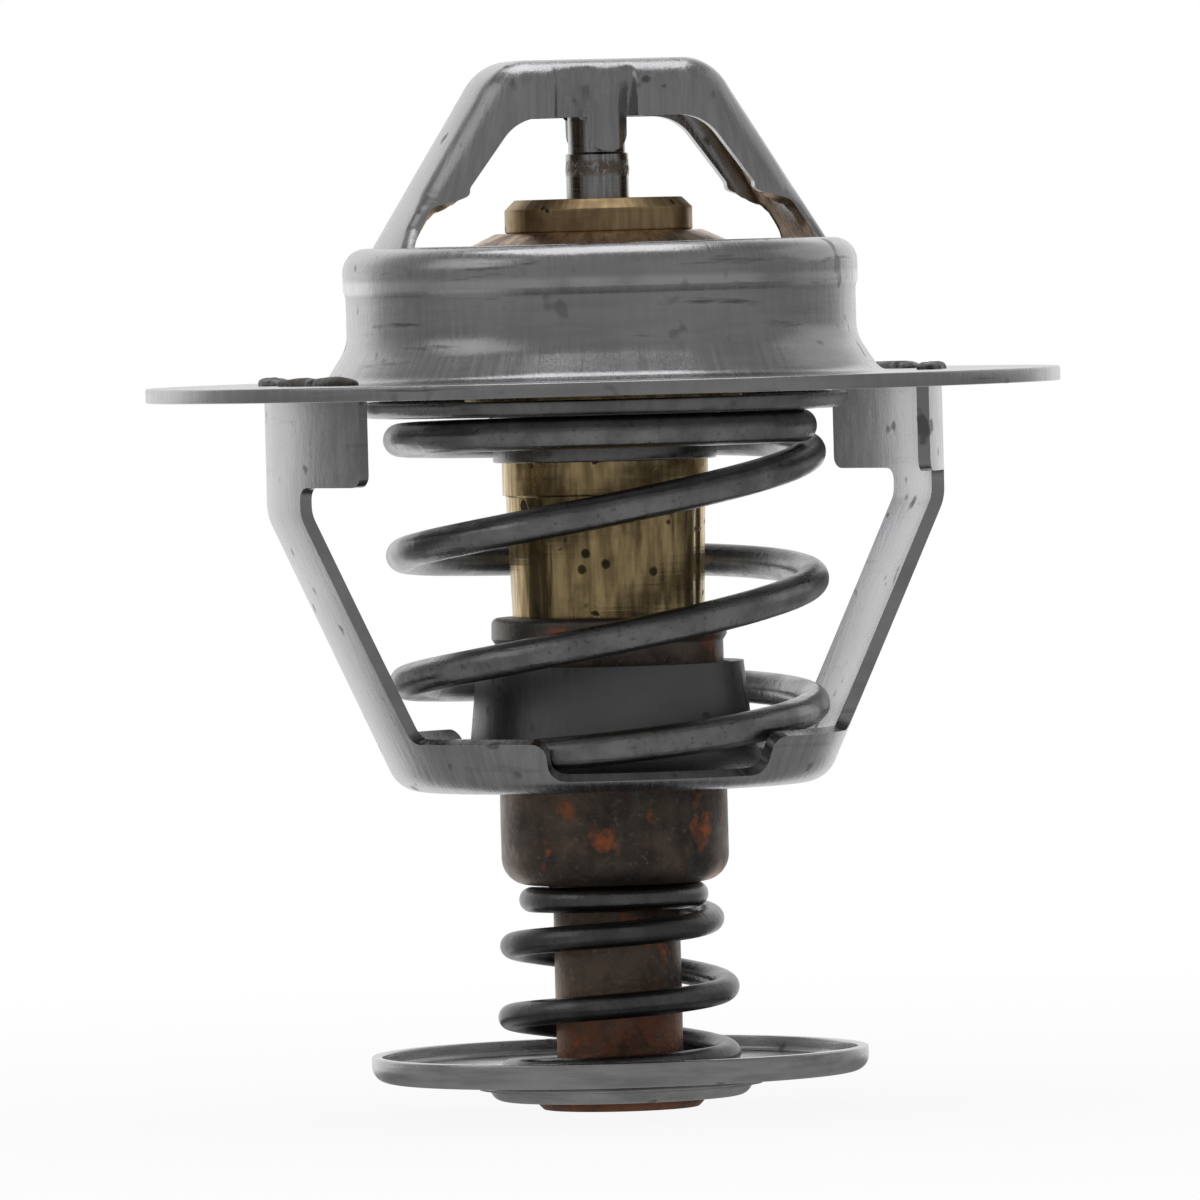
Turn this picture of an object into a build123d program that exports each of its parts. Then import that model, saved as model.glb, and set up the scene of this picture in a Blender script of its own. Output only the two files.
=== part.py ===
"""Engine thermostat of the wax-element kind, with a bypass disc.

Frame: origin on the valve axis in the plane of the flange's underside, +Z up towards the
bridge, the two arms of the support frame and the two legs of the bridge on the X axis.
All sizes are in millimetres.
"""
import os
from math import atan, cos, pi, radians, sin, tan

from build123d import *

# Housing: flange, hat and bridge, stamped from one sheet
HOUSING_SHEET = 0.85
FLANGE_R = 27.0
FLARE_FOOT_R = 16.44          # where the hat's flare meets the flange
FLARE_H = 3.0                 # top of the flare
HAT_R = 15.2
HAT_H = 8.76                  # top face of the lip
LIP_BORE_R = 12.6
HAT_FOOT_FILLET = 1.0
HAT_WAIST_FILLET = 2.5
HAT_SHOULDER_FILLET = 1.4

# Bridge: two legs and a top bar, a channel with its sides turned down
BRIDGE_H = 19.6               # top face of the bar
LEG_FOOT_R = 13.4             # leg's outer face at the lip
LEG_LEAN = 31.5               # degrees from upright
LEG_FOOT_W = 9.0
LEG_FOOT_FLARE_H = 1.6        # height over which the leg widens into the lip
LEG_FOOT_FLARE_R = 1.6
LEG_FOOT_SINK = 0.4           # how far the leg's foot runs into the lip
LEG_FOOT_TUCK = 0.48          # how far inside the leg's edge the widening ends
LEG_FOOT_TOP_R = 0.1
BRIDGE_CORNER_R = 3.4
CHANNEL_W = 7.6
CHANNEL_EDGE_R = 1.6
CHANNEL_DEPTH = 3.4           # of the turned-down sides at the top bar
CHANNEL_TOE_H = 11.1          # lower end of the turned-down sides
CHANNEL_TOE_X = 9.85
CHANNEL_HAUNCH_X = 6.1        # where the sides' lower edge turns level
CHANNEL_HAUNCH_R = 2.6
CHANNEL_TOE_R = 0.8

# Pocket in the middle of the bridge, which holds the piston's tip
POCKET_HALF_W = 2.45
POCKET_FLOOR_Y = 2.8          # half width of the pinched-in sides
TONGUE_W = 2.7
TONGUE_FACE_Y = 3.2           # front of the tongues' bulge
TONGUE_BULGE_R = 1.45
TONGUE_DROP = 2.0             # how far the tongues hang below the channel's sides
TONGUE_END_R = 1.2

# Support frame: a drawn bowl cut to two arms, a plate and a guide collar
FRAME_SHEET = 0.75
FRAME_R = 20.0
FRAME_WALL_H = 6.8
FRAME_H = 23.3
PLATE_CORNER_R = 12.6         # where arm and plate meet, before rounding
ARM_W = 9.2
ARM_BEND_R = 3.0
FRAME_CORNER_R = 2.8
EAR_HALF_ANGLE = 31.0
EAR_H = 5.1
EAR_CORNER_R = 0.7
LIP_HALF_ANGLE = 60.0
LIP_H = 3.0                   # tray lip above the plate's underside
LIP_CORNER_R = 0.85
LIP_ROOT_R = 0.8
LIP_ROUND_SHARE = 0.85         # most of the lip's straight wall that its corners may take
COLLAR_BORE_R = 7.28
COLLAR_H = 7.2                # above the plate's underside
COLLAR_FLARE_R = 3.0

# Tabs on the ears, staked over the flange
TAB_NEAR_ANGLE = 6.5
TAB_FAR_ANGLE = 28.0
TAB_SLOT_GAP = 0.05
TAB_HEAD_H = 0.5
TAB_HEAD_SPREAD = 0.35        # overhang of the staked head on each side
TAB_FOOT_H = 0.28             # lower, wider part of the head
TAB_CROWN_SPREAD = 0.12

# Wax element
PISTON_R = 1.85
PISTON_TIP_R = 1.68
PISTON_STEP_H = 14.0
PISTON_END_DEPTH = 26.4       # below the flange
PISTON_CHAMFER = 0.35
PISTON_GAP = 0.06             # radial running clearance
CAP_R = 5.54
CAP_H = 1.95
CAP_CHAMFER = 0.6
GUIDE_NECK_R = 4.8
GUIDE_R = 6.09
GUIDE_SHOULDER_CHAMFER = 0.4  # under the valve plate
GUIDE_COLLAR_R = 8.2
GUIDE_COLLAR_H = 1.2
GUIDE_STEP_DEPTH = 6.0        # below the flange
GUIDE_TAPER_TOP_R = 5.9
GUIDE_TAPER_END_R = 5.68
GUIDE_FOOT_H = 2.2
SEAL_R = 3.1
SEAL_H = 1.2
SEAL_ROUND = 0.3
SEAL_RECESS_DEPTH = 2.2       # seal's top below the cap's top
WASHER_R = 3.3
WASHER_H = 0.6
BOOT_FLANGE_H = 1.4
BOOT_R = 3.5
BOOT_END_WALL = 1.1
BOOT_TIP_GAP = 0.3
WAX_UNDER_BOOT = 0.6
ASSEMBLY_GAP = 0.02           # between pieces pressed together

# Copper cup with its stem
CUP_TOP_DEPTH = 13.2          # crimped rim below the flange
CUP_R = 6.72
CUP_WALL = 0.6
CUP_RIM_R = 6.95
CUP_RIM_H = 1.3
CUP_RIM_ROUND = 0.4
CUP_CORNER_R = 1.6
STEM_R = 3.74
STEM_FILLET = 0.4
STEM_HEAD_R = 4.9
STEM_HEAD_H = 0.6
STEM_HEAD_EDGE_H = 0.3
STEM_HEAD_BEVEL = 0.3
STEM_LENGTH = 13.3
STEM_DIMPLE_R = 2.0
STEM_DIMPLE_DEPTH = 0.35

# Main valve plate and its seat
VALVE_SHEET = 0.55
VALVE_R = 13.3
VALVE_CROWN_R = 6.1
VALVE_CROWN_H = 9.45          # top face of the crown
VALVE_SLOPE = 25.0            # degrees
VALVE_BEND_R = 1.0
VALVE_SEAT_GAP = 0.05

# Disc that the main spring pushes on
SEAT_SHEET = 0.5
SEAT_R = 14.45
SEAT_TOP_DEPTH = 0.75         # below the flange
SEAT_RIM_GAP = 0.3            # upturned rim's top below the flange
SEAT_RIM_BEND_R = 0.25
SEAT_HUB_H = 3.3
SEAT_BEND_R = 1.0

# Main spring
MAIN_WIRE_R = 0.97
MAIN_COIL_R = 12.1
MAIN_END_COIL_R = 10.75       # last coil, drawn in to sit in the frame's tray
MAIN_DRAW_IN_TURNS = 1.3      # turns over which it is drawn in
MAIN_TURNS = 4.0
MAIN_DEAD_TURNS = 0.55        # flat turns at each end
MAIN_START_ANGLE = -30.0
MAIN_LEAN = 0.8               # how far the free coils stand up towards +X

# Bypass disc and its spring
BYPASS_SHEET = 0.6
BYPASS_R = 14.68
BYPASS_RIM_H = 1.5            # rim above the dish's underside
BYPASS_RIM_BEND_R = 0.9
BYPASS_BOSS_R = 7.8
BYPASS_BOSS_H = 1.3           # boss below the dish
BYPASS_BOSS_BEND_R = 0.9
BYPASS_BORE_GAP = 0.06
BYPASS_WIRE_R = 0.75
BYPASS_TOP_COIL_R = 4.7
BYPASS_COIL_R = 6.4
BYPASS_TURNS = 4.1
BYPASS_DEAD_TURNS = 0.8
BYPASS_LEAN = -0.3
SPRING_END_GAP = 0.02

SPRING_STEPS_PER_TURN = 16
CUT_PAST = 1.0                # how far a cut runs past the metal
FIND_WITHIN = 0.02            # how near a picked edge lies to its nominal place

# Levels and radii that follow from the sizes above
hat_lip_under = HAT_H - HOUSING_SHEET
bar_under = BRIDGE_H - HOUSING_SHEET
side_edge_h = BRIDGE_H - CHANNEL_DEPTH
plate_top = FRAME_SHEET - FRAME_H
tab_top = HOUSING_SHEET + TAB_HEAD_H
cap_top = VALVE_CROWN_H + CAP_H
valve_under = VALVE_CROWN_H - VALVE_SHEET
seat_under = -SEAT_TOP_DEPTH - SEAT_SHEET
guide_end = -CUP_TOP_DEPTH - CUP_RIM_H - GUIDE_FOOT_H
boot_top = guide_end
wax_top = boot_top - BOOT_FLANGE_H
cup_inner_r = CUP_R - CUP_WALL
piston_bore_r = PISTON_R + PISTON_GAP
boot_pocket_end = -PISTON_END_DEPTH - BOOT_TIP_GAP
boot_end = boot_pocket_end - BOOT_END_WALL
cup_floor = boot_end - WAX_UNDER_BOOT
cup_end = cup_floor - CUP_WALL
stem_end = cup_end - STEM_LENGTH
stem_head_top = stem_end + STEM_HEAD_H
boss_top = stem_head_top + BYPASS_SHEET
dish_under = stem_head_top + BYPASS_BOSS_H
arm_lean = atan((FRAME_R - PLATE_CORNER_R) / (FRAME_H - FRAME_WALL_H))
lip_room = LIP_H - FRAME_SHEET - (FRAME_CORNER_R - FRAME_SHEET) * (1 - sin(arm_lean))
lip_corner_r = min(LIP_CORNER_R, LIP_ROUND_SHARE * lip_room)
lip_root_r = min(LIP_ROOT_R, LIP_ROUND_SHARE * lip_room)
part_reach = 3 * FLANGE_R     # longer than the part in every direction


def turned(points):
    """Solid of revolution about Z from a closed outline of (radius, height) points."""
    return revolve(make_face(Plane.XZ * Polyline(*points, close=True)), Axis.Z)


def drawn_sheet(points, bends, thickness):
    """Sheet of revolution on the left of a path of (radius, height) points, bent at each corner."""
    near = [Vector(*point) for point in points]
    ways = [(end - start).normalized() for start, end in zip(near, near[1:])]
    lefts = [Vector(-way.Y, way.X) for way in ways]
    far = [near[0] + lefts[0] * thickness]
    far_bends = []
    for corner, way, left, next_left, bend in zip(near[1:], ways, lefts, lefts[1:], bends):
        far.append(corner + (left + next_left) * (thickness / (1 + left.dot(next_left))))
        turns_left = way.dot(next_left) < 0
        far_bends.append(bend - thickness if turns_left else bend + thickness)
    far.append(near[-1] + lefts[-1] * thickness)
    faces = FilletPolyline(*near, radius=bends) + FilletPolyline(*far, radius=far_bends)
    ends = Line(near[0], far[0]) + Line(near[-1], far[-1])
    return revolve(make_face(Plane.XZ * (faces + ends)), Axis.Z)


def disc(radius, low, high):
    """Upright cylinder between two heights."""
    return Pos(0, 0, low) * extrude(Circle(radius), high - low)


def wedges(half_angle, low, high):
    """Two upright wedges that open from the axis towards +X and -X."""
    side = part_reach * tan(radians(half_angle))
    wedge = make_face(Polyline((0, 0), (part_reach, -side), (part_reach, side), close=True))
    pair = extrude(wedge, high - low)
    return Pos(0, 0, low) * (pair + Rot(0, 0, 180) * pair)


def round_edges(shape, radius, height):
    """Full circles of one radius at one height."""
    return [edge for edge in shape.edges()
            if abs(edge.center().Z - height) < FIND_WITHIN
            and abs(edge.length - 2 * pi * radius) < FIND_WITHIN]


def radial_edges(shape, height, longest):
    """Short edges that cross the sheet at one height, such as a blank's corners."""
    return [edge for edge in shape.edges()
            if abs(edge.center().Z - height) < FIND_WITHIN and edge.length < longest
            and edge.bounding_box().size.Z < FIND_WITHIN]


# ---------------------------------------------------------------- housing

def hat_and_flange():
    """Flange and hat as one drawn sheet, with the slots that take the frame's tabs."""
    profile = [(FLANGE_R, HOUSING_SHEET), (FLARE_FOOT_R, HOUSING_SHEET), (HAT_R, FLARE_H),
               (HAT_R, HAT_H), (LIP_BORE_R, HAT_H)]
    bends = [HAT_FOOT_FILLET, HAT_WAIST_FILLET, HAT_SHOULDER_FILLET]
    slots = tab_ring(-CUT_PAST, HOUSING_SHEET + CUT_PAST, TAB_SLOT_GAP)
    return drawn_sheet(profile, bends, HOUSING_SHEET) - slots


def bridge_dome(inset):
    """Solid dome whose flank is the legs' outer face, moved in by an inset."""
    lean = radians(LEG_LEAN)
    foot = HAT_H - LEG_FOOT_SINK
    top = BRIDGE_H - inset
    foot_r = LEG_FOOT_R + LEG_FOOT_SINK * tan(lean) - inset / cos(lean)
    corner_r = foot_r - (top - foot) * tan(lean)
    flank = FilletPolyline((foot_r, foot), (corner_r, top), (0, top), radius=BRIDGE_CORNER_R - inset)
    base = Polyline((0, top), (0, foot), (foot_r, foot))
    return revolve(Face(Wire(Plane.XZ * (flank + base))), Axis.Z)


def bridge_block(inset):
    """The dome cut to the channel's width, with its long edges rounded."""
    half_w = CHANNEL_W / 2 - inset
    foot = HAT_H - LEG_FOOT_SINK
    block = bridge_dome(inset) & Pos(0, 0, foot) * Box(part_reach, 2 * half_w, 2 * BRIDGE_H)
    long_edges = [edge for edge in block.edges()
                  if abs(abs(edge.center().Y) - half_w) < FIND_WITHIN
                  and edge.center().Z > foot + FIND_WITHIN]
    return fillet(long_edges, CHANNEL_EDGE_R - inset)


def leg_feet():
    """Outline across the legs' feet, which widen into the lip."""
    low = HAT_H - LEG_FOOT_SINK
    half_foot = LEG_FOOT_W / 2
    half_leg = CHANNEL_W / 2 - LEG_FOOT_TUCK
    flare_top = HAT_H + LEG_FOOT_FLARE_H
    top = CHANNEL_TOE_H
    outline = FilletPolyline((-half_foot, HAT_H), (-half_leg, flare_top), (-half_leg, top),
                             (half_leg, top), (half_leg, flare_top), (half_foot, HAT_H),
                             radius=[LEG_FOOT_FLARE_R, LEG_FOOT_TOP_R, LEG_FOOT_TOP_R, LEG_FOOT_FLARE_R])
    foot = Polyline((half_foot, HAT_H), (half_foot, low), (-half_foot, low), (-half_foot, HAT_H))
    return extrude(Plane.YZ * make_face(outline + foot), FLANGE_R, both=True)


def channel_sides():
    """The span over which the channel keeps its turned-down sides, seen from the side."""
    reach = LEG_FOOT_R + CUT_PAST
    above = BRIDGE_H + CUT_PAST
    low_edge = FilletPolyline(
        (-reach, CHANNEL_TOE_H), (-CHANNEL_TOE_X, CHANNEL_TOE_H), (-CHANNEL_HAUNCH_X, side_edge_h),
        (CHANNEL_HAUNCH_X, side_edge_h), (CHANNEL_TOE_X, CHANNEL_TOE_H), (reach, CHANNEL_TOE_H),
        radius=[CHANNEL_TOE_R, CHANNEL_HAUNCH_R, CHANNEL_HAUNCH_R, CHANNEL_TOE_R])
    rest = Polyline((reach, CHANNEL_TOE_H), (reach, above), (-reach, above), (-reach, CHANNEL_TOE_H))
    return extrude(Plane.XZ * make_face(low_edge + rest), FLANGE_R, both=True)


def piston_pocket():
    """Pinched-in sides and two hanging tongues that hold the piston's tip upright."""
    bore_r = PISTON_TIP_R + ASSEMBLY_GAP
    height = BRIDGE_H - HOUSING_SHEET / 2 - side_edge_h
    middle = Pos(0, 0, side_edge_h + height / 2)
    pinched = middle * Box(2 * POCKET_HALF_W + HOUSING_SHEET, 2 * POCKET_FLOOR_Y, height)
    tongue_low = side_edge_h - TONGUE_DROP
    bulge_y = TONGUE_FACE_Y - TONGUE_BULGE_R
    bulges = [Pos(0, y, 0) * disc(TONGUE_BULGE_R, tongue_low, bar_under) for y in (-bulge_y, bulge_y)]
    tongue = FilletPolyline((-TONGUE_W / 2, bar_under), (-TONGUE_W / 2, tongue_low),
                            (TONGUE_W / 2, tongue_low), (TONGUE_W / 2, bar_under), radius=TONGUE_END_R)
    face = make_face(tongue + Line((TONGUE_W / 2, bar_under), (-TONGUE_W / 2, bar_under)))
    tongues = (bulges[0] + bulges[1]) & extrude(Plane.XZ * face, CHANNEL_W, both=True)
    return (pinched + tongues) - disc(bore_r, tongue_low - CUT_PAST, bar_under)


def bridge_housing():
    """The whole stamping: flange, hat, legs and channelled top bar."""
    outer = bridge_block(0)
    hollow = bridge_dome(HOUSING_SHEET)
    skin = outer - hollow
    sides = (outer - bridge_block(HOUSING_SHEET)) & channel_sides()
    middle_h = bar_under - side_edge_h
    recess = Pos(0, 0, bar_under - middle_h) * Box(2 * POCKET_HALF_W, 2 * CHANNEL_W, 2 * middle_h)
    feet = (bridge_dome(0) - hollow) & leg_feet()
    return hat_and_flange() + skin + (sides - recess) + piston_pocket() + feet


# ---------------------------------------------------------------- support frame

def tab_ring(low, high, gap):
    """The four tabs between two heights, grown by a gap on every side."""
    ring = disc(FRAME_R + gap, low, high) - disc(FRAME_R - FRAME_SHEET - gap, low, high)
    turn = gap / FRAME_R * 180 / pi
    span = wedges(TAB_FAR_ANGLE + turn, low, high)
    return ring & (span - wedges(TAB_NEAR_ANGLE - turn, low, high))


def staked_heads():
    """Tab ends hammered over the flange, wider below than on top."""
    foot = tab_ring(HOUSING_SHEET, HOUSING_SHEET + TAB_FOOT_H, TAB_HEAD_SPREAD)
    crown = tab_ring(HOUSING_SHEET, tab_top, TAB_CROWN_SPREAD)
    return foot + crown


def support_frame():
    """Bowl drawn in one sheet, cut away between the arms, with its collar and staked tabs."""
    profile = [(COLLAR_BORE_R, COLLAR_H - FRAME_H), (COLLAR_BORE_R, -FRAME_H), (PLATE_CORNER_R, -FRAME_H),
               (FRAME_R, -FRAME_WALL_H), (FRAME_R, HOUSING_SHEET)]
    bowl = drawn_sheet(profile, [COLLAR_FLARE_R, FRAME_CORNER_R, ARM_BEND_R], FRAME_SHEET)
    below = -FRAME_H - CUT_PAST
    lip_top = LIP_H - FRAME_H
    ears = wedges(EAR_HALF_ANGLE, -EAR_H, 0)
    arm_h = -EAR_H - below
    arms = Pos(0, 0, below + arm_h / 2) * Box(part_reach, ARM_W, arm_h)
    lips = wedges(LIP_HALF_ANGLE, below, lip_top)
    plate = disc(FRAME_R, below, plate_top)
    collar = disc(COLLAR_BORE_R + FRAME_SHEET + COLLAR_FLARE_R, below, 0)
    tabs = tab_ring(0, HOUSING_SHEET, 0)
    blank = bowl & (ears + arms + lips + plate + collar + tabs)
    for height, bend in ((-EAR_H, EAR_CORNER_R), (lip_top, lip_corner_r)):
        corners = [edge for edge in radial_edges(blank, height, 2 * FRAME_SHEET)
                   if abs(edge.center().Y) > ARM_W / 2 + FRAME_SHEET]
        blank = fillet(corners, bend)
    for height, bend in ((-EAR_H, EAR_CORNER_R), (lip_top, lip_root_r)):
        roots = [edge for edge in radial_edges(blank, height, 2 * FRAME_SHEET)
                 if abs(abs(edge.center().Y) - ARM_W / 2) < FIND_WITHIN]
        blank = fillet(roots, bend)
    return blank + staked_heads()


# ---------------------------------------------------------------- wax element

def piston():
    """Hardened pin, stepped down at the bridge end and chamfered at the wax end."""
    return turned([(0, -PISTON_END_DEPTH), (PISTON_R - PISTON_CHAMFER, -PISTON_END_DEPTH),
                   (PISTON_R, PISTON_CHAMFER - PISTON_END_DEPTH), (PISTON_R, PISTON_STEP_H),
                   (PISTON_TIP_R, PISTON_STEP_H + PISTON_R - PISTON_TIP_R), (PISTON_TIP_R, bar_under),
                   (0, bar_under)])


def element_guide():
    """Turned brass body: cap over the valve plate, collar over the seat disc, foot in the cup."""
    seal_top = cap_top - SEAL_RECESS_DEPTH
    outline = [(CAP_R - CAP_CHAMFER, cap_top), (CAP_R, cap_top - CAP_CHAMFER), (CAP_R, VALVE_CROWN_H),
               (GUIDE_NECK_R, VALVE_CROWN_H), (GUIDE_NECK_R, valve_under),
               (GUIDE_R - GUIDE_SHOULDER_CHAMFER, valve_under),
               (GUIDE_R, valve_under - GUIDE_SHOULDER_CHAMFER),
               (GUIDE_R, GUIDE_COLLAR_H - SEAT_TOP_DEPTH), (GUIDE_COLLAR_R, GUIDE_COLLAR_H - SEAT_TOP_DEPTH),
               (GUIDE_COLLAR_R, -SEAT_TOP_DEPTH), (GUIDE_R, -SEAT_TOP_DEPTH),
               (GUIDE_R, -GUIDE_STEP_DEPTH), (GUIDE_TAPER_TOP_R, -GUIDE_STEP_DEPTH),
               (GUIDE_TAPER_END_R, -CUP_TOP_DEPTH), (GUIDE_TAPER_END_R, -CUP_TOP_DEPTH - CUP_RIM_H),
               (cup_inner_r - ASSEMBLY_GAP, -CUP_TOP_DEPTH - CUP_RIM_H),
               (cup_inner_r - ASSEMBLY_GAP, guide_end), (WASHER_R + ASSEMBLY_GAP, guide_end),
               (WASHER_R + ASSEMBLY_GAP, guide_end + WASHER_H), (piston_bore_r, guide_end + WASHER_H),
               (piston_bore_r, seal_top - SEAL_H), (SEAL_R + ASSEMBLY_GAP, seal_top - SEAL_H),
               (SEAL_R + ASSEMBLY_GAP, seal_top), (piston_bore_r, seal_top), (piston_bore_r, cap_top)]
    return turned(outline)


def piston_seal():
    """Rubber ring in the groove under the cap's top."""
    seal_top = cap_top - SEAL_RECESS_DEPTH
    seal_low = seal_top - SEAL_H
    ring = disc(SEAL_R, seal_low, seal_top) - disc(piston_bore_r, seal_low, seal_top)
    return fillet(round_edges(ring, SEAL_R, seal_low) + round_edges(ring, SEAL_R, seal_top), SEAL_ROUND)


def backing_washer():
    """Thin hard ring that keeps the rubber boot out of the piston's bore."""
    return disc(WASHER_R, guide_end, guide_end + WASHER_H) - disc(piston_bore_r, guide_end,
                                                                  guide_end + WASHER_H)


def rubber_boot():
    """Thick-walled sleeve round the piston's end, flanged at its mouth."""
    return turned([(piston_bore_r, boot_top), (cup_inner_r - ASSEMBLY_GAP, boot_top),
                   (cup_inner_r - ASSEMBLY_GAP, wax_top), (BOOT_R, wax_top),
                   (BOOT_R, boot_end + BOOT_R / 2), (BOOT_R / 2, boot_end), (0, boot_end),
                   (0, boot_pocket_end), (piston_bore_r, boot_pocket_end)])


def wax_charge():
    """Wax that fills the cup round the boot."""
    wax_r = cup_inner_r - ASSEMBLY_GAP
    boot_r = BOOT_R + ASSEMBLY_GAP
    boot_low = boot_end - ASSEMBLY_GAP
    floor = cup_floor + ASSEMBLY_GAP
    corner = CUP_CORNER_R - CUP_WALL
    return turned([(boot_r, wax_top), (wax_r, wax_top), (wax_r, floor + corner), (wax_r - corner, floor),
                   (0, floor), (0, boot_low), (boot_r / 2, boot_low), (boot_r, boot_low + boot_r / 2)])


def wax_cup():
    """Drawn copper cup, its rim rolled over the guide's foot, with the bypass stem below."""
    rim_low = -CUP_TOP_DEPTH - CUP_RIM_H
    throat_r = GUIDE_TAPER_END_R + ASSEMBLY_GAP
    body = turned([(throat_r, -CUP_TOP_DEPTH), (CUP_RIM_R, -CUP_TOP_DEPTH), (CUP_RIM_R, rim_low),
                   (CUP_R, rim_low - (CUP_RIM_R - CUP_R)), (CUP_R, cup_end), (0, cup_end),
                   (0, cup_floor), (cup_inner_r, cup_floor), (cup_inner_r, rim_low), (throat_r, rim_low)])
    for radius, height, bend in ((CUP_R, cup_end, CUP_CORNER_R),
                                 (cup_inner_r, cup_floor, CUP_CORNER_R - CUP_WALL),
                                 (CUP_RIM_R, -CUP_TOP_DEPTH, CUP_RIM_ROUND)):
        body = fillet(round_edges(body, radius, height), bend)
    return body + bypass_stem()


def bypass_stem():
    """Stem under the cup, spread at its end so that the bypass disc can't drop off."""
    return turned([(0, cup_end), (STEM_R + STEM_FILLET, cup_end),
                   (STEM_R, cup_end - STEM_FILLET), (STEM_R, stem_head_top),
                   (STEM_HEAD_R, stem_head_top), (STEM_HEAD_R, stem_head_top - STEM_HEAD_EDGE_H),
                   (STEM_HEAD_R - STEM_HEAD_BEVEL, stem_end), (STEM_DIMPLE_R, stem_end),
                   (STEM_DIMPLE_R / 2, stem_end + STEM_DIMPLE_DEPTH),
                   (0, stem_end + STEM_DIMPLE_DEPTH)])


# ---------------------------------------------------------------- valve plate and discs

def valve_plate():
    """Dished plate: crown under the guide's cap, flat rim against the hat's lip."""
    rim_top = hat_lip_under - VALVE_SEAT_GAP
    slope_r = VALVE_CROWN_R + (VALVE_CROWN_H - rim_top) / tan(radians(VALVE_SLOPE))
    profile = [(VALVE_R, rim_top), (slope_r, rim_top), (VALVE_CROWN_R, VALVE_CROWN_H),
               (GUIDE_NECK_R + ASSEMBLY_GAP, VALVE_CROWN_H)]
    return drawn_sheet(profile, [VALVE_BEND_R, VALVE_BEND_R], VALVE_SHEET)


def spring_seat():
    """Disc with an upturned rim and a drawn hub that fits round the guide."""
    rim_r = SEAT_R - SEAT_SHEET
    hub_r = GUIDE_R + ASSEMBLY_GAP
    profile = [(rim_r, -SEAT_RIM_GAP), (rim_r, -SEAT_TOP_DEPTH), (hub_r, -SEAT_TOP_DEPTH),
               (hub_r, -SEAT_TOP_DEPTH - SEAT_HUB_H)]
    return drawn_sheet(profile, [SEAT_RIM_BEND_R, SEAT_BEND_R], SEAT_SHEET)


def bypass_disc():
    """Dished disc with an upturned rim and a sunken boss that rides on the stem."""
    profile = [(STEM_R + BYPASS_BORE_GAP, stem_head_top), (BYPASS_BOSS_R, stem_head_top),
               (BYPASS_BOSS_R, dish_under), (BYPASS_R, dish_under), (BYPASS_R, dish_under + BYPASS_RIM_H)]
    bends = [BYPASS_BOSS_BEND_R, BYPASS_BOSS_BEND_R / 2, BYPASS_RIM_BEND_R]
    return drawn_sheet(profile, bends, BYPASS_SHEET)


# ---------------------------------------------------------------- springs

def wound_spring(top, height, turns, dead_turns, start_angle, lean, coil_r, wire_r):
    """Round wire wound downwards; pitch and lean fade to nothing over the dead turns at both ends."""
    steps = round(turns * SPRING_STEPS_PER_TURN)
    shares = [i / steps for i in range(steps + 1)]
    fade = dead_turns / turns

    def fall(share):
        near_end = min(share, 1 - share) / fade
        if near_end >= 2:
            return 1.0
        return (1 - cos(pi * near_end / 2)) / 2

    falls = [fall(share) for share in shares]
    total = sum(falls[1:])
    points = []
    fallen = 0
    for share, drop in zip(shares, falls):
        fallen += drop if share > 0 else 0
        angle = radians(start_angle) - 2 * pi * turns * share
        radius = coil_r(share)
        level = top - height * fallen / total + lean * drop * cos(angle)
        points.append((radius * cos(angle), radius * sin(angle), level))
    path = Spline(*points)
    section = Plane(origin=path @ 0, z_dir=path % 0) * Circle(wire_r)
    return sweep(section, path=path)


def main_spring():
    """Closing spring between the seat disc and the frame's plate."""
    top = seat_under - MAIN_WIRE_R - SPRING_END_GAP
    low = plate_top + MAIN_WIRE_R + SPRING_END_GAP

    def coil_r(share):
        left = min((1 - share) * MAIN_TURNS / MAIN_DRAW_IN_TURNS, 1)
        return MAIN_END_COIL_R + (MAIN_COIL_R - MAIN_END_COIL_R) * (1 - cos(pi * left)) / 2

    return wound_spring(top, top - low, MAIN_TURNS, MAIN_DEAD_TURNS, MAIN_START_ANGLE, MAIN_LEAN,
                        coil_r, MAIN_WIRE_R)


def bypass_spring():
    """Bypass spring between the cup and the disc, small at the top and wide below."""
    top = cup_end - BYPASS_WIRE_R - SPRING_END_GAP
    low = boss_top + BYPASS_WIRE_R + SPRING_END_GAP

    def coil_r(share):
        grown = min(share * BYPASS_TURNS / 2, 1)
        return BYPASS_TOP_COIL_R + (BYPASS_COIL_R - BYPASS_TOP_COIL_R) * (1 - cos(pi * grown)) / 2

    return wound_spring(top, top - low, BYPASS_TURNS, BYPASS_DEAD_TURNS, 0, BYPASS_LEAN, coil_r,
                        BYPASS_WIRE_R)


NODES = {
    "bridge_housing": bridge_housing,
    "support_frame": support_frame,
    "piston": piston,
    "valve_plate": valve_plate,
    "element_guide": element_guide,
    "piston_seal": piston_seal,
    "backing_washer": backing_washer,
    "rubber_boot": rubber_boot,
    "wax_charge": wax_charge,
    "wax_cup": wax_cup,
    "spring_seat": spring_seat,
    "main_spring": main_spring,
    "bypass_spring": bypass_spring,
    "bypass_disc": bypass_disc,
}

os.makedirs("parts", exist_ok=True)
for node, make in NODES.items():
    solid = make()
    export_step(solid, f"parts/{node}.step")
    print(f"{node}: {len(solid.solids())} solid, {solid.volume:.1f} mm3")
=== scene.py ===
"""Looks of a wax-element engine thermostat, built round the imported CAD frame. Metres, +Z up."""

import bmesh
import bpy
import numpy as np
from mathutils import Matrix, Vector


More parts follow.
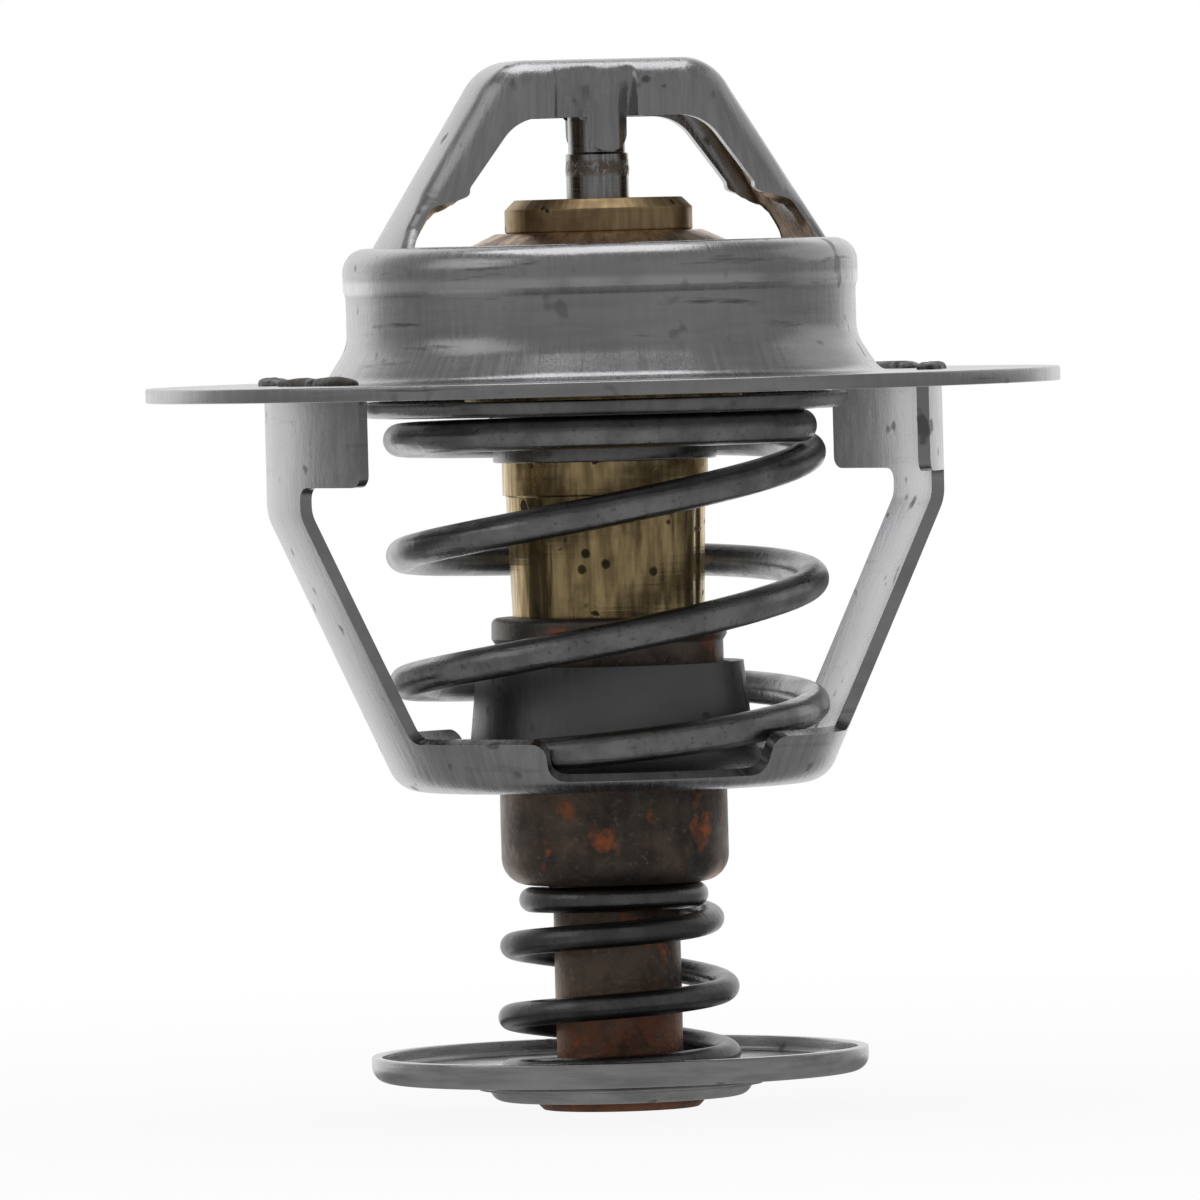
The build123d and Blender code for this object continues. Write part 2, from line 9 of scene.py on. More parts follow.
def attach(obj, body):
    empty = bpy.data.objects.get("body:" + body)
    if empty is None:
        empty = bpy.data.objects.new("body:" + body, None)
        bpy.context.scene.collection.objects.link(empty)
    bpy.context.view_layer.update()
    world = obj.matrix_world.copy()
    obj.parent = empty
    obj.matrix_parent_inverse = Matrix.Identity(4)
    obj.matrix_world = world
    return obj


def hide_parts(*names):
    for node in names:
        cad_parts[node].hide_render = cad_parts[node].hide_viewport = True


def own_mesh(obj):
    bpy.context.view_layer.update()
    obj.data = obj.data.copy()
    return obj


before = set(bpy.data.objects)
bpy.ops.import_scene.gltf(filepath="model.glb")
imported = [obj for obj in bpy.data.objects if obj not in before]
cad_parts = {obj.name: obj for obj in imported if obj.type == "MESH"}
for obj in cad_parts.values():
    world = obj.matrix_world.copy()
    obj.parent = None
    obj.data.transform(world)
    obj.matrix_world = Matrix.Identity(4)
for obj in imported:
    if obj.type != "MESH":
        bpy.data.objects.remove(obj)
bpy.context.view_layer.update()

# ------------------------------------------------------------------ camera
# A long lens, level with the top of the hat and looking slightly down, held a
# little off level, turned so that one leg of the bridge comes towards it.
EYE_DISTANCE = 0.850
EYE_HEIGHT = 0.0084
AIM_HEIGHT = -0.0123
AZIMUTH = np.radians(-13.5)
ROLL = np.radians(-1.5)
ASIDE = -0.00050
SENSOR_WIDTH = 36.0
LENS = 432.0

bpy.context.scene.view_settings.view_transform = "Standard"
camera_data = bpy.data.cameras.new("camera")
camera_data.sensor_width = SENSOR_WIDTH
camera_data.lens = LENS
camera_data.clip_start = 0.05
camera_data.clip_end = 50
camera = bpy.data.objects.new("camera", camera_data)
bpy.context.scene.collection.objects.link(camera)
bpy.context.scene.camera = camera
aside = Vector((np.cos(AZIMUTH), np.sin(AZIMUTH), 0)) * ASIDE
eye = Vector((EYE_DISTANCE * np.sin(AZIMUTH), -EYE_DISTANCE * np.cos(AZIMUTH), EYE_HEIGHT)) + aside
aim = Vector((0, 0, AIM_HEIGHT)) + aside
look = (aim - eye).to_track_quat("-Z", "Y").to_matrix().to_4x4()
camera.matrix_world = Matrix.Translation(eye) @ look @ Matrix.Rotation(ROLL, 4, "Z")


# ------------------------------------------------------------------ studio
# A white sweep behind and beside the thermostat, and a dimmer room behind the
# camera, so that turned edges shine and faces towards the camera stay grey.
def node(tree, kind, values=(), **settings):
    """New shader node with its settings, and its inputs filled with values or linked to sockets."""
    made = tree.nodes.new(kind)
    for key, value in settings.items():
        setattr(made, key, value)
    for key, value in dict(values).items():
        if isinstance(value, bpy.types.NodeSocket):
            tree.links.new(value, made.inputs[key])
        else:
            made.inputs[key].default_value = value
    return made


def maths(tree, operation, *values):
    """Result socket of a Math node."""
    return node(tree, "ShaderNodeMath", enumerate(values), operation=operation).outputs[0]


def times(tree, *values):
    """Socket of a product."""
    return maths(tree, "MULTIPLY", *values)


def band(tree, value, low, high, bottom=0.0, top=1.0):
    """Value socket mapped smoothly from low..high to bottom..top."""
    values = {0: value, 1: low, 2: high, 3: bottom, 4: top}
    return node(tree, "ShaderNodeMapRange", values, interpolation_type="SMOOTHSTEP").outputs[0]


def ramp(tree, factor, stops):
    """Colour socket of a ramp with stops of (place, grey), the first two of which it has already."""
    made = node(tree, "ShaderNodeValToRGB", {"Fac": factor})
    points = made.color_ramp.elements
    for index, (place, grey) in enumerate(stops):
        point = points[index] if index < 2 else points.new(place)
        point.position = place
        point.color = (grey, grey, grey, 1)
    return made.outputs["Color"]


# Greys of the room by the way a wall lies, from 0 behind the camera to 1 at the far end. The
# dim end behind the camera is turned aside by a few degrees.
ROOM_GREYS = ((0.0, 0.27), (1.0, 1.0), (0.60, 0.21), (0.78, 0.34), (0.88, 0.9))
SWEEP_START = 0.85
SWEEP_FULL = 0.95
DIM_END_TURN = 8.0


def room(tree, direction):
    """Sockets of the room's grey in a direction, and of how much of the white sweep is seen there.

    The sweep is what the camera, glass and a mirror turned to the far end of the room see.
    """
    dim_end = Matrix.Rotation(np.radians(DIM_END_TURN), 3, "Z") @ eye.normalized()
    facing = node(tree, "ShaderNodeVectorMath", {0: direction, 1: (dim_end.x, dim_end.y, 0)},
                  operation="DOT_PRODUCT").outputs["Value"]
    turned_away = maths(tree, "MULTIPLY_ADD", facing, -0.5, 0.5)
    grey = ramp(tree, turned_away, ROOM_GREYS)
    path = node(tree, "ShaderNodeLightPath").outputs
    mirrored = times(tree, path["Is Glossy Ray"], band(tree, turned_away, SWEEP_START, SWEEP_FULL))
    seen = maths(tree, "MAXIMUM", path["Is Transmission Ray"], mirrored)
    return grey, maths(tree, "MAXIMUM", path["Is Camera Ray"], seen)


world = bpy.data.worlds.new("studio")
bpy.context.scene.world = world
world.use_nodes = True
tree = world.node_tree
tree.nodes.clear()
grey, seen = room(tree, node(tree, "ShaderNodeTexCoord").outputs["Generated"])
lit = node(tree, "ShaderNodeBackground", {"Color": grey}).outputs[0]
plain = node(tree, "ShaderNodeBackground", {"Color": (1, 1, 1, 1)}).outputs[0]
both = node(tree, "ShaderNodeMixShader", {0: seen, 1: lit, 2: plain}).outputs[0]
node(tree, "ShaderNodeOutputWorld", {"Surface": both})


def lamp(name, place, size, watts):
    """Square soft box at a place, of a size in metres, facing the middle of the thermostat."""
    data = bpy.data.lights.new(name, "AREA")
    data.size = size
    data.energy = watts
    made = bpy.data.objects.new(name, data)
    bpy.context.scene.collection.objects.link(made)
    turn = (aim - Vector(place)).to_track_quat("-Z", "Y").to_matrix().to_4x4()
    made.matrix_world = Matrix.Translation(place) @ turn


lamp("lamp_left", place=(-0.60, -0.10, 0.35), size=0.45, watts=0.25)
lamp("lamp_right", place=(0.60, 0.15, 0.25), size=0.45, watts=0.15)
lamp("lamp_top", place=(0.0, 0.05, 0.70), size=0.55, watts=1.3)


# ------------------------------------------------------------------- floor
# A plain white table top just under the bypass disc. It glows as the room does
# in each direction, so that it doesn't wash out the metal turned to the camera.
FLOOR_HEIGHT = -0.0424
FLOOR_SIZE = 6.0
GLOW_REACH = 0.16
GLOW_SHARES = ((0.1, 0.92), (1.0, 1.0))


def painted(name):
    """New material and its node tree, emptied."""
    made = bpy.data.materials.new(name)
    made.use_nodes = True
    made.node_tree.nodes.clear()
    return made, made.node_tree


bpy.ops.mesh.primitive_plane_add(size=FLOOR_SIZE, location=(0, 0, FLOOR_HEIGHT))
floor = bpy.context.object
floor.name = "floor"
white, tree = painted("white_table")
coat = node(tree, "ShaderNodeBsdfDiffuse", {"Color": (0.9, 0.9, 0.9, 1)}).outputs[0]
place = node(tree, "ShaderNodeTexCoord").outputs["Object"]
outward = node(tree, "ShaderNodeVectorMath", {0: place}, operation="NORMALIZE").outputs["Vector"]
grey, seen = room(tree, outward)
strength = node(tree, "ShaderNodeMix", {0: seen, 2: grey, 3: 1.0}).outputs[0]
glow = node(tree, "ShaderNodeEmission", {"Color": (1, 1, 1, 1), "Strength": strength}).outputs[0]
away = node(tree, "ShaderNodeVectorMath", {0: place}, operation="LENGTH").outputs["Value"]
share = ramp(tree, maths(tree, "DIVIDE", away, GLOW_REACH), GLOW_SHARES)
table = node(tree, "ShaderNodeMixShader", {0: share, 1: coat, 2: glow}).outputs[0]
node(tree, "ShaderNodeOutputMaterial", {"Surface": table})
floor.data.materials.append(white)


# --------------------------------------------------------- flange and hat
# One disc of zinc-plated sheet, drawn up in the middle into a hat with a small
# flare at its foot and a turned-in lip, which the valve plate closes against.
MM = 0.001
FLANGE_RADIUS = 27.0
FLANGE_SHEET = 0.85
FLARE_RADIUS = 16.44
HAT_WAIST = 15.05
WAIST_LOW = 3.0
WAIST_TOP = 5.8
HAT_RADIUS = 15.2
WALL_LOW = 6.3
HAT_TOP = 8.76
LIP_RADIUS = 12.6
DENT_DEPTH = 0.035
DENTS_WITHIN = 17.5
STEEL_DARK = (0.41, 0.41, 0.42)
STEEL_LIGHT = (0.55, 0.55, 0.56)
# Grey of the painted highlight band along the hat's step.
STEEL_HIGHLIGHT = 0.76
SCUFF_GREY = (0.13, 0.13, 0.135)
# Grey towards which the frame turns darker near its middle.
INNER_GREY = (0.15, 0.148, 0.145)
SPECK_BROWN = (0.10, 0.09, 0.08)
NOWHERE = (-2.0, -1.0)


def rounded(corners, step=0.45, turn=0.14):
    """Rows of points in mm along an open polyline whose inner corners become arcs.

    The ends are (x, z) and each corner between them is (x, z, bend), with the radius of its arc. A
    corner that turns by an angle is cut back by the bend times the tangent of half that angle, and
    the arc is swept about its centre. Straight runs get points near each arc, and every step.
    """
    bends = [bend for _, _, bend in corners[1:-1]]
    corners = [np.array(corner[:2], float) for corner in corners]
    rows = [corners[0]]
    for before, corner, after, bend in zip(corners, corners[1:], corners[2:], bends):
        way = (corner - before) / np.linalg.norm(corner - before)
        next_way = (after - corner) / np.linalg.norm(after - corner)
        cross = way[0] * next_way[1] - way[1] * next_way[0]
        angle = np.arctan2(cross, way @ next_way)
        start = corner - way * bend * np.tan(abs(angle) / 2)
        normal = np.array([-way[1], way[0]]) * np.sign(cross)
        centre = start + normal * bend
        sweep = np.linspace(0, angle, max(4, int(abs(angle) / turn) + 2))[:, None]
        spoke = start - centre
        side = np.array([-spoke[1], spoke[0]])
        rows += [start, *(centre + spoke * np.cos(sweep) + side * np.sin(sweep))[1:]]
    rows.append(corners[-1])
    return filled(np.array(rows), step)


def filled(rows, step):
    """The rows with extra points on each long stretch: one close to each end and one each step."""
    parts = []
    for start, end in zip(rows, rows[1:]):
        length = np.linalg.norm(end - start)
        count = int(length / step)
        shares = np.linspace(0, 1, count + 1)[:-1] if count else np.zeros(1)
        if length > 0.3:
            shares = np.unique(np.concatenate([shares, [0.06 / length, 1 - 0.06 / length]]))
        parts.append(start + (end - start) * shares[:, None])
    return np.concatenate([*parts, rows[-1:]])


def sheet_outline(corners, thickness, edge=0.12):
    """Closed outline of a bent sheet that lies on the left of a polyline, with rounded rims.

    The far face is the near face moved along its normal by the thickness; each rim is the
    quarter arc of the edge radius at either face.
    """
    near = rounded(corners)
    way = np.gradient(near, axis=0)
    way /= np.linalg.norm(way, axis=1)[:, None]
    left = np.stack([-way[:, 1], way[:, 0]], 1)
    far = near + left * thickness
    rims = []
    for start, out, across in ((near[-1], way[-1], left[-1]), (far[0], -way[0], -left[0])):
        bow = np.radians([0, 22, 45, 68, 90])[:, None]
        rise = edge * (np.sin(bow) * out + (1 - np.cos(bow)) * across)
        fall = edge * (np.sin(bow[::-1]) * out - (1 - np.cos(bow[::-1])) * across)
        rims.append(np.concatenate([start + rise, start + across * thickness + fall]) - out * edge)
    kept = np.minimum(*(np.linalg.norm(near - near[end], axis=1) for end in (0, -1))) > 1.4 * edge
    return np.concatenate([near[kept], rims[0], far[kept][::-1], rims[1]])


def turned(outline, steps):
    """Grid of points (r cos a, r sin a, z) of an outline of (r, z) rows turned through a full circle."""
    angle = np.linspace(0, 2 * np.pi, steps, endpoint=False)
    radius, height = outline[:, :1], outline[:, 1:]
    return np.stack([radius * np.cos(angle), radius * np.sin(angle), height + 0 * angle], -1)


def ripple(seed, reach, *places):
    """Smooth irregular values from about -1 to 1: a sum of nine sine waves in random directions.

    Each wave is the sine of the places times random numbers up to the reach, plus a random phase.
    """
    dice = np.random.default_rng(seed)
    total = 0
    for _ in range(9):
        phase = dice.uniform(0, 2 * np.pi)
        total = total + np.sin(sum(place * dice.uniform(-reach, reach) for place in places) + phase)
    return total / 4


def surface(name, points, across=False, along=False):
    """New object with quads through one or more (rows, columns, 3) grids of points in mm.

    Across joins the last column to the first and along the last row to the first. Quads with a
    corner that isn't a number are left out, points that coincide at poles and seams become one,
    and faces are turned away from the origin.
    """
    grids = points.reshape(-1, *points.shape[-3:])
    index = np.arange(grids.size // 3).reshape(grids.shape[:3])
    if across:
        index = np.concatenate([index, index[:, :, :1]], 2)
    if along:
        index = np.concatenate([index, index[:, :1]], 1)
    corners = index[:, :-1, :-1], index[:, 1:, :-1], index[:, 1:, 1:], index[:, :-1, 1:]
    quads = np.stack(corners, -1).reshape(-1, 4)
    flat = points.reshape(-1, 3) * MM
    there = np.isfinite(flat[quads]).all((1, 2))
    used, quads = np.unique(quads[there], return_inverse=True)
    flat, quads = flat[used], quads.reshape(-1, 4)
    a, b, c, d = (flat[quads[:, i]] for i in range(4))
    if np.einsum("ij,ij->", a + b + c + d, np.cross(c - a, d - b)) < 0:
        quads = quads[:, ::-1]
    mesh = bpy.data.meshes.new(name)
    mesh.from_pydata(flat, [], quads.tolist())
    form = bmesh.new()
    form.from_mesh(mesh)
    bmesh.ops.remove_doubles(form, verts=form.verts, dist=2e-7)
    form.to_mesh(mesh)
    form.free()
    mesh.shade_smooth()
    piece = bpy.data.objects.new(name, mesh)
    bpy.context.scene.collection.objects.link(piece)
    return piece


def dress(piece, body, slot, material, *nodes):
    """Gives a piece its material and body, and hides the CAD nodes it stands for. The slot is not used.
    """
    piece.data.materials.clear()
    piece.data.materials.append(material)
    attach(piece, body)
    if nodes:
        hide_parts(*nodes)


def plus(tree, *values):
    """Socket of a sum."""
    return maths(tree, "ADD", *values)


def noise(tree, place, scale, detail=3.0, rough=0.55):
    """Factor socket of a noise texture."""
    values = {"Vector": place, "Scale": scale, "Detail": detail, "Roughness": rough}
    return node(tree, "ShaderNodeTexNoise", values).outputs[0]


def colour(value):
    """A grey or an (r, g, b) as a colour with alpha; a socket stays as it is."""
    if isinstance(value, bpy.types.NodeSocket):
        return value
    return (*value, 1) if isinstance(value, tuple) else (value, value, value, 1)


def blend(tree, factor, first, second):
    """Colour socket of two colours mixed."""
    values = {0: factor, 6: colour(first), 7: colour(second)}
    return node(tree, "ShaderNodeMix", values, data_type="RGBA").outputs[2]


def places(tree, around=1000.0, upright=1000.0, core=0.0002):
    """Sockets of the place in metres, the place in the ring, the radius and the height.

    The place in the ring is the direction from the axis times one factor and the height times
    another, so that a noise on it makes streaks along or across the axis. Within the core's radius
    in metres it is the place over that radius instead, so that no streaks meet at the axis.
    """
    place = node(tree, "ShaderNodeTexCoord").outputs["Object"]
    split = node(tree, "ShaderNodeSeparateXYZ", {0: place})
    x, y, z = split.outputs
    radius = maths(tree, "SQRT", plus(tree, times(tree, x, x), times(tree, y, y)))
    safe = maths(tree, "MAXIMUM", radius, core)
    parts = [times(tree, maths(tree, "DIVIDE", side, safe), around) for side in (x, y)]
    parts.append(times(tree, z, upright))
    ring = node(tree, "ShaderNodeCombineXYZ", enumerate(parts)).outputs[0]
    return place, ring, radius, z


def metal(tree, base, rough, relief, depth, metallic=1.0):
    """Metal shader with a fine relief of a depth in metres, linked to the output."""
    bump = node(tree, "ShaderNodeBump", {"Height": relief, "Distance": depth, "Strength": 1.0})
    values = {"Base Color": colour(base), "Roughness": rough, "Metallic": metallic,
              "Normal": bump.outputs[0]}
    shader = node(tree, "ShaderNodeBsdfPrincipled", values)
    node(tree, "ShaderNodeOutputMaterial", {"Surface": shader.outputs[0]})


def drawn_steel(name, around, upright, dark=STEEL_DARK, light=STEEL_LIGHT, soil=0.25, marks=0.0,
                darker_within=NOWHERE, bands=0.0, highlight_belt=NOWHERE):
    """Satin plated steel: fine streaks along one way of the ring, cloudy greys and a few dark specks.

    Marks is the share of the dark scuffs that the drawing die left round the piece, and bands that
    of its soft greys, in place of the streaks. The pair darker_within gives the radii in metres
    between which the darker, rougher grey of the middle fades out, and highlight_belt the heights
    between which a lighter band is painted as a highlight.
    """
    made, tree = painted(name)
    place, ring, radius, height = places(tree, around, upright, 0.0065)
    streaks = noise(tree, ring, 1.0, 5.0, 0.65)
    clouds = noise(tree, place, 160.0, 3.0)
    grain = noise(tree, place, 3200.0, 2.0)
    specks = band(tree, noise(tree, place, 620.0, 2.0, 0.4), 0.66, 0.74)
    scuffs = noise(tree, places(tree, 1.9, 1300.0)[1], 1.0, 4.0, 0.6)

    tone = plus(tree, times(tree, streaks, 0.62 - bands), times(tree, clouds, 0.38))
    tone = plus(tree, tone, times(tree, scuffs, bands))
    grey = blend(tree, band(tree, tone, 0.34, 0.66), dark, light)
    # Painted highlight: a lighter band between the two heights, patchy with the clouds.
    belt = times(tree, band(tree, height, highlight_belt[0] - 0.0002, highlight_belt[0] + 0.0001),
                 band(tree, height, highlight_belt[1] + 0.0002, highlight_belt[1] - 0.0002))
    painted_highlight = times(tree, belt, band(tree, clouds, 0.36, 0.56, 0.1, 0.85))
    grey = blend(tree, painted_highlight, grey, STEEL_HIGHLIGHT)
    grey = blend(tree, band(tree, scuffs, 0.60, 0.74, 0.0, marks), grey, SCUFF_GREY)
    # Darker grey towards the middle, fading out between the two radii.
    grey = blend(tree, band(tree, radius, darker_within[1], darker_within[0], 0.0, 0.8), grey, INNER_GREY)
    grey = blend(tree, times(tree, specks, soil), grey, SPECK_BROWN)

    rough = plus(tree, band(tree, streaks, 0.3, 0.7, 0.20, 0.31), times(tree, specks, 0.2))
    rough = plus(tree, rough, band(tree, radius, darker_within[1], darker_within[0], 0.0, 0.16))
    relief = plus(tree, times(tree, streaks, 0.7 - bands), times(tree, grain, 0.3))
    metal(tree, grey, rough, relief, 0.00003)
    return made


outline = sheet_outline([(FLANGE_RADIUS, FLANGE_SHEET), (FLARE_RADIUS, FLANGE_SHEET, 1.0),
                         (HAT_WAIST, WAIST_LOW, 2.4), (HAT_WAIST, WAIST_TOP, 0.6),
                         (HAT_RADIUS, WALL_LOW, 0.6), (HAT_RADIUS, HAT_TOP, 1.4),
                         (LIP_RADIUS, HAT_TOP)], FLANGE_SHEET)
points = turned(outline, 288)
hat_share = np.clip((DENTS_WITHIN - np.hypot(points[..., 0], points[..., 1])) / 3, 0, 1)
points[..., 2] += DENT_DEPTH * hat_share * ripple(4, 0.22, points[..., 0], points[..., 1])
hat = surface("hat_and_flange", points, across=True, along=True)
# The lighter band from 6.1 to 6.8 mm high is a painted highlight along the hat's step.
hat_steel = drawn_steel("hat_steel", 42.0, 260.0, soil=0.3, marks=0.8, bands=0.4, highlight_belt=(0.0061, 0.0068))
dress(hat, "frame", "housing_steel", hat_steel)


# ------------------------------------------------------------------ bridge
# The strap over the hat: two leaning legs and a bar, pressed to a channel with
# its sides turned down and pinched in the middle to a socket for the piston.
BRIDGE_TOP = 19.6
LEG_LEAN = np.radians(31.5)
LEG_FOOT = 13.4
FOOT_LEVEL = 8.3
CORNER_BEND = 3.4
STRAP_HALF_WIDTH = 3.8
EDGE_BEND = 1.6
SIDE_DEPTH = 1.92
SIDE_EDGE = 16.2
EDGE_TURN = 5.6
EDGE_FOOT = (9.35, 11.15)
TOE_RUN = 6.95
TOE_EASE = 0.9
SIDE_FADES_BEFORE_TOE = 1.6
SIDE_FADE = 0.9
TONGUE_HALF_WIDTH = 1.2
TONGUE_DROP = 2.0
TONGUE_CORNER = 1.05
CUT_GAP = 0.012
BRIDGE_DENT = 0.03
# Half widths and depths of the strap by mm along the leg from the toe: nipped, then spread out.
FOOT_WIDTHS = ((0, STRAP_HALF_WIDTH), (1.15, 3.5), (2.35, 3.55), (3.75, 4.3))
FOOT_END_WIDTH = 4.5
FOOT_DEPTHS = ((-0.7, SIDE_DEPTH), (0.8, 0.5))
FOOT_END_DEPTH = 0.42
# Half widths between the sides by mm along the bar: pinched to either side of a bulge for the piston.
SOCKET_WIDTHS = ((-3.35, STRAP_HALF_WIDTH), (-3.2, 3.4), (-2.2, 3.1), (-1.45, 2.7), (-1.1, 2.8),
                 (-0.6, 3.2), (0, 3.36), (0.6, 3.2), (1.0, 2.85), (1.25, 2.7), (1.45, 3.0),
                 (1.65, STRAP_HALF_WIDTH))
SOCKET_REACH = 4


def softened(row, half):
    """A row of values averaged under a bell that reaches that many values to either side."""
    bell = np.exp(-np.linspace(-2, 2, 2 * half + 1) ** 2)
    return np.convolve(np.pad(row, half, mode="edge"), bell / bell.sum(), mode="valid")


def run_of(rows):
    """Length gone along the rows of points at each of them."""
    return np.concatenate([[0], np.cumsum(np.linalg.norm(np.diff(rows, axis=0), axis=1))])


def side_edge(far, level, leg_start, toe):
    """Places (x, z) of the side's lower edge at distances along the strap's path.

    The edge is level under the bar, turns through an arc of its own and runs down to the toe. Next
    to the middle it drops by the tongue, whose outer corner is a quarter circle.
    """
    edge = rounded([(0, SIDE_EDGE), (EDGE_TURN, SIDE_EDGE, 2.8), EDGE_FOOT], 0.1, 0.05)
    gone = run_of(edge)
    edge_run = np.interp(far, [0, level, leg_start + 2.5, toe], [0, level, level + 2.9, gone[-1]])
    x, z = (np.interp(edge_run, gone, edge[:, side]) for side in (0, 1))
    out = np.clip(far - (TONGUE_HALF_WIDTH - TONGUE_CORNER), 0, TONGUE_CORNER)
    tongue = TONGUE_DROP - TONGUE_CORNER + np.sqrt(np.maximum(TONGUE_CORNER ** 2 - out ** 2, 0))
    return x, z - np.where(far < TONGUE_HALF_WIDTH, tongue, 0)


def bridge_points():
    """Outer face of the strap: a path over the hat, and across it a flat, an edge arc and a side.

    The path runs level, turns through an arc and goes down the leg. A point of the flat or the arc
    is the path's point moved inward and sideways; down the leg the strap is curved about the hat's
    axis. The side goes straight on to its lower edge, and past the toe it fades out.
    """
    turn = np.pi / 2 - LEG_LEAN
    level = LEG_FOOT - (BRIDGE_TOP - HAT_TOP) * np.tan(LEG_LEAN) - CORNER_BEND * np.tan(turn / 2)
    leg_start = level + CORNER_BEND * turn
    toe = leg_start + TOE_RUN
    leg_top = BRIDGE_TOP - CORNER_BEND * (1 - np.cos(turn))
    reach = leg_start + (leg_top - FOOT_LEVEL) / np.sin(turn)
    half = np.unique(np.concatenate([np.linspace(0, TONGUE_HALF_WIDTH - CUT_GAP, 26),
                                     np.linspace(TONGUE_HALF_WIDTH + CUT_GAP, 2.8, 22),
                                     np.linspace(2.8, leg_start, 56),
                                     np.linspace(leg_start, reach, 110)]))
    run = np.concatenate([-half[:0:-1], half])
    far = np.abs(run)
    bent = np.clip((far - level) / CORNER_BEND, 0, turn)
    down = np.maximum(far - leg_start, 0)
    path_x = np.minimum(far, level) + CORNER_BEND * np.sin(bent) + down * np.cos(turn)
    path_z = BRIDGE_TOP - CORNER_BEND * (1 - np.cos(bent)) - down * np.sin(turn)

    fine = np.linspace(0, reach, 2000)
    past_toe, depths = np.array(FOOT_DEPTHS).T
    depth = np.interp(fine, [0, *(toe + past_toe), reach], [SIDE_DEPTH, *depths, FOOT_END_DEPTH])
    past_toe, widths = np.array(FOOT_WIDTHS).T
    width = np.interp(fine, [0, *(toe + past_toe), reach], [STRAP_HALF_WIDTH, *widths, FOOT_END_WIDTH])
    depth, width = np.interp(far, fine, softened(depth, 60)), np.interp(far, fine, softened(width, 22))

    thinned = TOE_EASE * np.clip((far - leg_start - 7.2) / 1.2, 0, 1)
    bend = np.clip(EDGE_BEND - thinned, 0.5, EDGE_BEND)
    arc = np.arccos(np.clip(1 - depth / bend, 0, 1))
    flat = width - bend * np.sin(arc)
    share = np.concatenate([np.linspace(0, 1, 14)[:-1], 1 + np.linspace(0, 1, 13)[:-1],
                            2 + np.linspace(0, 1, 22)])[None, :]
    on_flat, on_arc, on_side = (np.clip(share - part, 0, 1) for part in (0, 1, 2))
    swing = on_arc * arc[:, None]
    wide = flat[:, None] * on_flat + bend[:, None] * np.sin(swing)
    deep = bend[:, None] * (1 - np.cos(swing))
    path = path_x[:, None]
    near_lip = np.clip((path - 4) / 4, 0, 1)
    sag = near_lip * (path - np.sqrt(np.maximum(path ** 2 - wide ** 2, 0)))
    x = path - deep * np.sin(bent)[:, None] - sag
    z = path_z[:, None] - deep * np.cos(bent)[:, None]

    edge_x, edge_z = side_edge(far, level, leg_start, toe)
    toe_x = x[:, -1] - np.maximum(depth - bend, 0) * np.sin(bent)
    toe_z = z[:, -1] - np.maximum(depth - bend, 0) * np.cos(bent)
    past = np.clip((far - toe + SIDE_FADES_BEFORE_TOE) / SIDE_FADE, 0, 1)
    past = past * past * (3 - 2 * past)
    edge_x = edge_x + past * (toe_x - edge_x)
    edge_z = edge_z + past * (toe_z - edge_z)
    x = x + on_side * (edge_x[:, None] - x)
    z = z + on_side * (edge_z[:, None] - z)

    along = np.linspace(-SOCKET_REACH, SOCKET_REACH, 801)
    socket = np.interp(along, *np.array(SOCKET_WIDTHS).T)
    socket = np.interp(run, along, softened(socket, 9))[:, None]
    into = np.clip((BRIDGE_TOP - z - 0.3) / 3.0, 0, 1)
    into = into * (1.3 - 0.3 * into)
    pinched = wide - into * (width[:, None] - socket)
    wide = np.where(far[:, None] < SOCKET_REACH, pinched, wide)

    x = x * np.sign(run)[:, None]
    front = np.stack([x, -wide, z], -1)
    back = np.stack([x, wide, z], -1)
    return np.concatenate([front[:, :0:-1], back], 1)


def give_thickness(piece, thickness, edge):
    """Turns an outer face into a sheet of a thickness in mm, with its rims softened."""
    solid = piece.modifiers.new("thickness", "SOLIDIFY")
    solid.thickness = thickness * MM
    solid.offset = -1
    rim = piece.modifiers.new("rims", "BEVEL")
    rim.width = edge * MM
    rim.segments = 2
    rim.limit_method = "ANGLE"
    rim.angle_limit = np.radians(50)
    rim.harden_normals = True


points = bridge_points()
points[..., 1] += BRIDGE_DENT * ripple(7, 0.9, points[..., 0], points[..., 2])
bridge = surface("bridge", points)
give_thickness(bridge, FLANGE_SHEET, 0.1)
bridge_steel = drawn_steel("bridge_steel", 30.0, 300.0, soil=0.7)
dress(bridge, "frame", "housing_steel", bridge_steel, "bridge_housing")


# ----------------------------------------------------------- support frame
# A stirrup pressed from one sheet: ears against the flange, two arms, and a
# round tray with a lip and a collar, in which the wax element slides.
FRAME_SHEET = 0.75
FRAME_RADIUS = 20.0
FRAME_TOP = -0.03
KNEE_LEVEL = -6.8
FRAME_LOW = -23.3
TRAY_RADIUS = 12.6
COLLAR_FOOT_RADIUS = 7.9
COLLAR_RADIUS = 7.14
COLLAR_HEIGHT = 7.2
ARM_HALF_WIDTH = 4.6
EAR_ANGLE = np.radians(31)
EAR_LOW = -5.1
LIP_ANGLE = np.radians(60)
LIP_TOP = -20.3
PLATE_TOP = -22.55
ARM_FILLET = 0.75
EAR_CORNER = 0.7
LIP_CORNER = 0.85
LIP_FOOT_FILLET = 1.0


